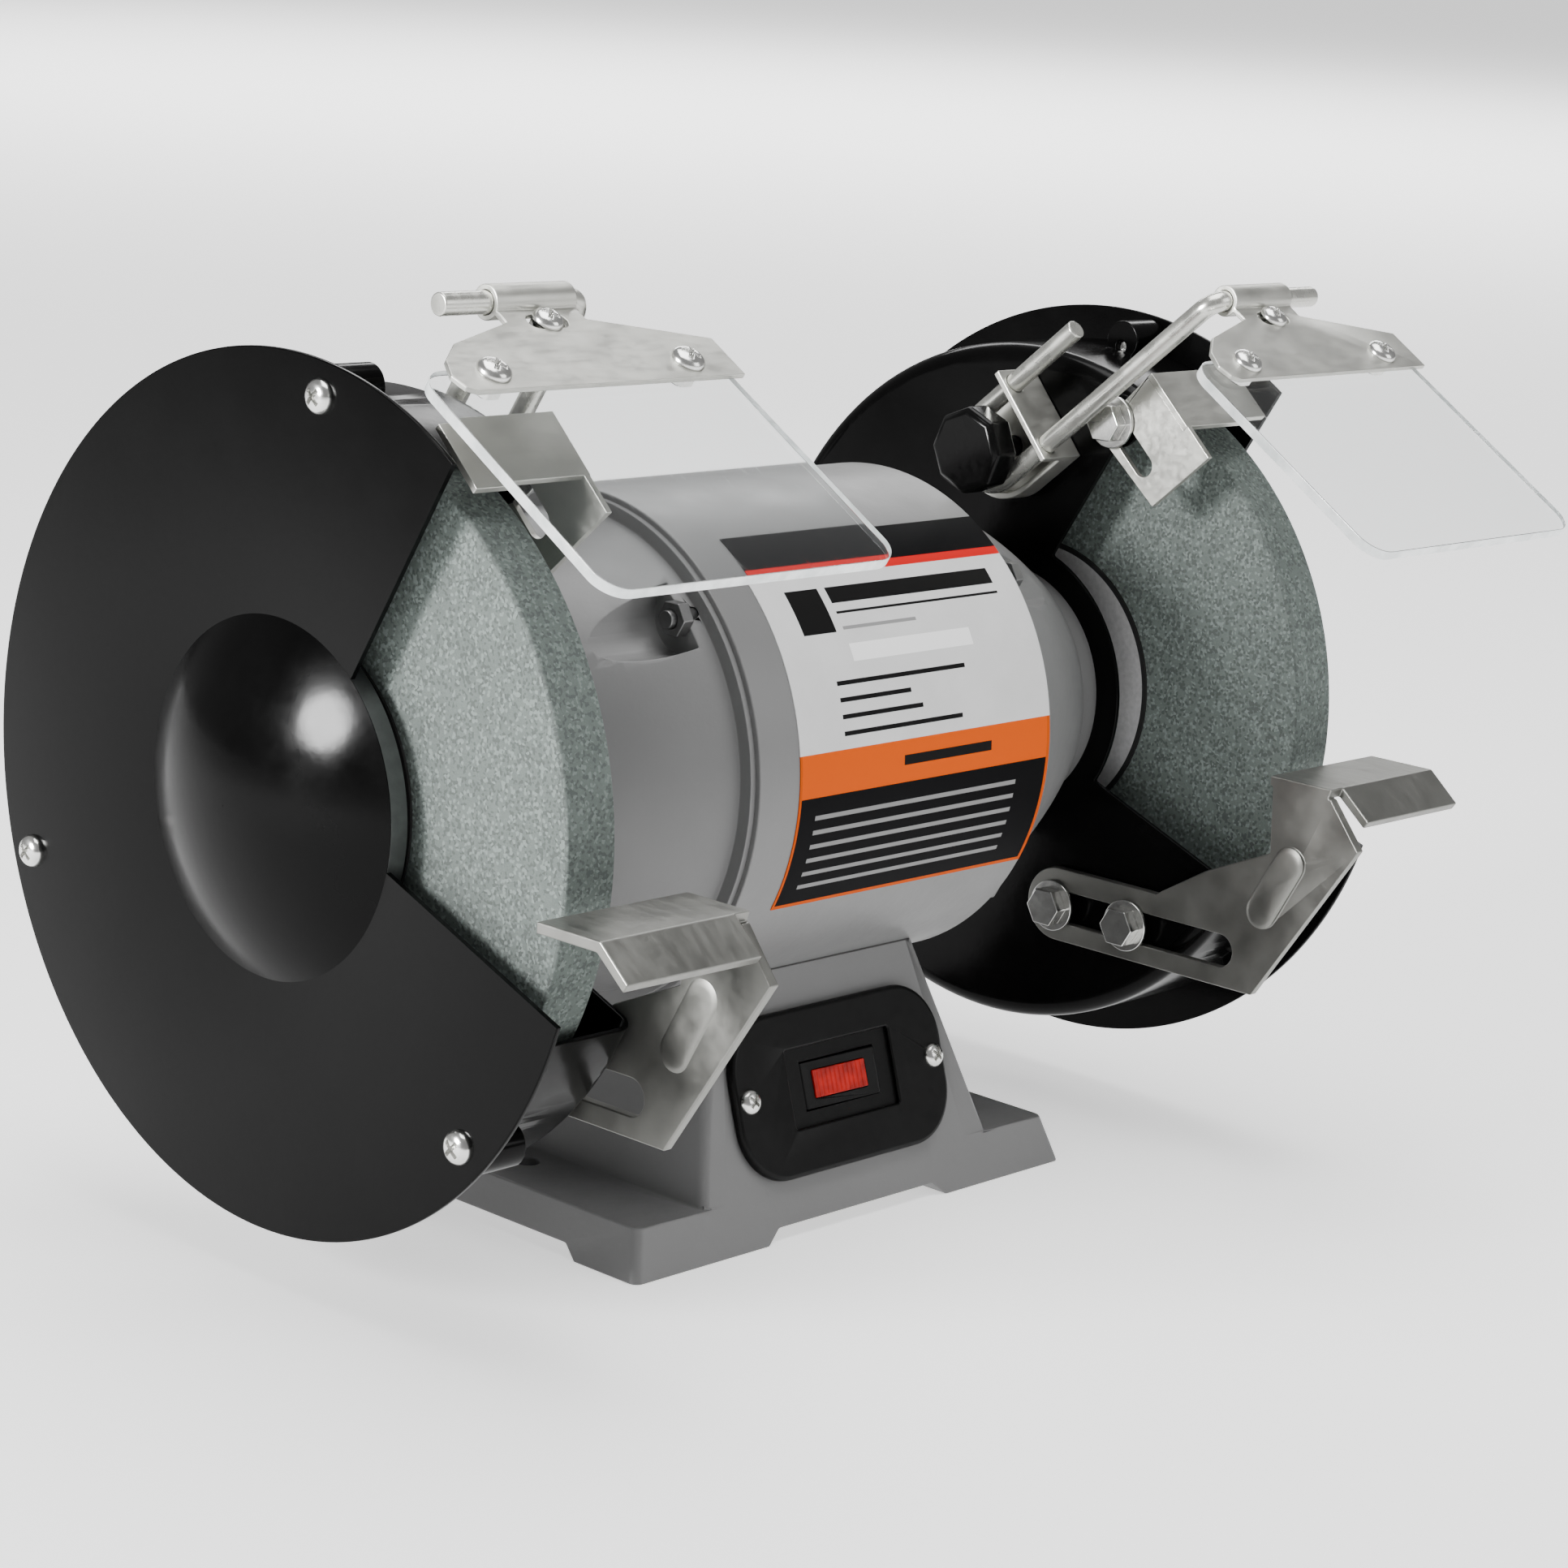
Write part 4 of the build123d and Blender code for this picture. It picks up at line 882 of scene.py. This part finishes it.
class GRINDER_OT_guards(bpy.types.Operator):
    """Makes both wheel guards"""

    bl_idname = "grinder.guards"
    bl_label = "Wheel guards"

    def execute(self, context):
        """Covers with domes, drums and their screws."""
        for side, sign in SIDES:
            cover = stand_for(joined(side + "_cover", guard_cover(side, sign)), side + "_guard_cover")
            # Painted highlight: the dome's rim wall takes a lighter metal finish than the cover paint, so
            # it reads as a bright band.
            cover.data.materials.append(FINISHES["dome_rim_highlight"])
            for face in cover.data.polygons:
                reach = math.hypot(face.center.y, face.center.z - AXIS_HEIGHT)
                on_wall = abs(face.normal.x) < 0.5 and abs(reach - DOME_RADIUS) < 0.4 * MM
                face.material_index = int(on_wall)
            refined(side + "_guard_housing", settings().edge_radius)
            drive_screws(side + "_cover_screws", (sign, 0, 0))
        return {"FINISHED"}


def dimple(side, sign, height, face, name):
    """Long pressed dome on a tool rest's side plate: a slot outline whose height is a half ellipse of the
    distance inside its edge."""
    ends = np.array(RIB_ENDS) * MM
    run = ends[1] - ends[0]
    length = np.linalg.norm(run)
    along, width = run / length, RIB_HALF_WIDTH
    ring = np.linspace(0.02, 1, 14)[:, None]
    turn = np.linspace(0, FULL_TURN, 72, endpoint=False)[None, :]
    reach = ring * width * np.cos(turn) + np.sign(np.cos(turn)) * ring * length / 2
    across = ring * width * np.sin(turn)
    rise = height * np.sqrt(np.clip(1 - ring**2, 0, 1)) + 0 * turn
    middle = ends.mean(0)
    y = middle[0] + reach * along[0] - across * along[1]
    z = middle[1] + reach * along[1] + across * along[0]
    x = sign * face + rise
    faces = grid_faces(len(ring), turn.shape[1], False, True)
    faces.append(list(range(turn.shape[1])))
    faces.append(list(range((len(ring) - 1) * turn.shape[1], len(ring) * turn.shape[1]))[::-1])
    piece = outward(mesh_piece(side + name, np.stack([x, y, z], -1).reshape(-1, 3), faces))
    piece.data.materials.append(FINISHES["bare_rest_steel"])
    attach(piece, BODY_OF[side + "_tool_rest"])


class GRINDER_OT_rests(bpy.types.Operator):
    """Makes the tool rests and spark arrestors"""

    bl_idname = "grinder.rests"
    bl_label = "Tool rests"

    def execute(self, context):
        """Folded sheets with eased edges, and their bolts."""
        plate = [abs(corner.x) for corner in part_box("right_tool_rest")]
        for side, sign in SIDES:
            refined(side + "_tool_rest", 0.45 * MM)
            dimple(side, sign, -1.3 * sign * MM, plate[0], "_rest_rib")
            dimple(side, sign, 1.0 * sign * MM, plate[0] + 4.2 * MM, "_rest_swell")
            refined(side + "_spark_arrestor", 0.2 * MM, 1)
            refined(side + "_rest_bolts", 0.35 * MM)
            refined(side + "_arrestor_bolt", 0.35 * MM)
        return {"FINISHED"}


class GRINDER_OT_shields(bpy.types.Operator):
    """Makes the eye shields and their arms"""

    bl_idname = "grinder.shields"
    bl_label = "Eye shields"

    def execute(self, context):
        """Arms, brackets, knobs and clear screens whose polished edges carry a painted glow."""
        for side, _ in SIDES:
            refined(side + "_shield_arm", 0.5 * MM)
            refined(side + "_arm_bracket", settings().edge_radius)
            refined(side + "_arm_knob", 0.9 * MM, 3)
            refined(side + "_shield_bracket", 0.35 * MM)
            up = broad_normal(side + "_shield_bracket")
            drive_screws(side + "_shield_screws", up)
            screen = refined(side + "_eye_shield", 0.3 * MM)
            # The edge faces take the finish with a pale colour and a painted glow.
            screen.data.materials.append(FINISHES["screen_edge"])
            for face in screen.data.polygons:
                face.material_index = int(abs(face.normal.dot(up)) < 0.9)
        return {"FINISHED"}


class GRINDER_OT_wheels(bpy.types.Operator):
    """Makes both abrasive wheels"""

    bl_idname = "grinder.wheels"
    bl_label = "Wheels"

    def execute(self, context):
        """A disc with eased rims at each end."""
        for side, _ in SIDES:
            low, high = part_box(side + "_grinding_wheel")
            section = [
                (low.x, BORE_RADIUS), (low.x, WHEEL_RADIUS), (high.x, WHEEL_RADIUS), (high.x, BORE_RADIUS)
            ]
            stand_for(revolved(side + "_wheel", rounded(section, 0.7 * MM)), side + "_grinding_wheel")
            refined(side + "_inner_flange", 0.6 * MM)
            refined(side + "_outer_flange", 0.6 * MM)
            refined(side + "_spindle_nut", 0.5 * MM)
        return {"FINISHED"}


class GRINDER_PT_panel(bpy.types.Panel):
    """Lists the pieces"""

    bl_label = "Bench grinder"
    bl_idname = "GRINDER_PT_panel"
    bl_space_type = "VIEW_3D"
    bl_region_type = "UI"
    bl_category = "Grinder"

    def draw(self, context):
        """Settings, then a button for each operator."""
        for name in GrinderSettings.__annotations__:
            self.layout.prop(context.scene.grinder_settings, name)
        for operator in OPERATORS:
            self.layout.operator(operator.bl_idname)


OPERATORS = (
    GRINDER_OT_stage, GRINDER_OT_finishes, GRINDER_OT_base, GRINDER_OT_motor, GRINDER_OT_wheels,
    GRINDER_OT_guards, GRINDER_OT_rests, GRINDER_OT_shields,
)


def register():
    """Adds the settings, operators and panel."""
    for cls in (GrinderSettings, *OPERATORS, GRINDER_PT_panel):
        bpy.utils.register_class(cls)
    bpy.types.Scene.grinder_settings = PointerProperty(type=GrinderSettings)


def unregister():
    """Removes what register added."""
    del bpy.types.Scene.grinder_settings
    for cls in (GRINDER_PT_panel, *reversed(OPERATORS), GrinderSettings):
        bpy.utils.unregister_class(cls)


def main():
    """Builds everything."""
    register()
    bpy.ops.grinder.stage()
    bpy.ops.grinder.finishes()
    bpy.ops.grinder.base()
    bpy.ops.grinder.motor()
    bpy.ops.grinder.wheels()
    bpy.ops.grinder.guards()
    bpy.ops.grinder.rests()
    bpy.ops.grinder.shields()


if __name__ == "__main__":
    main()
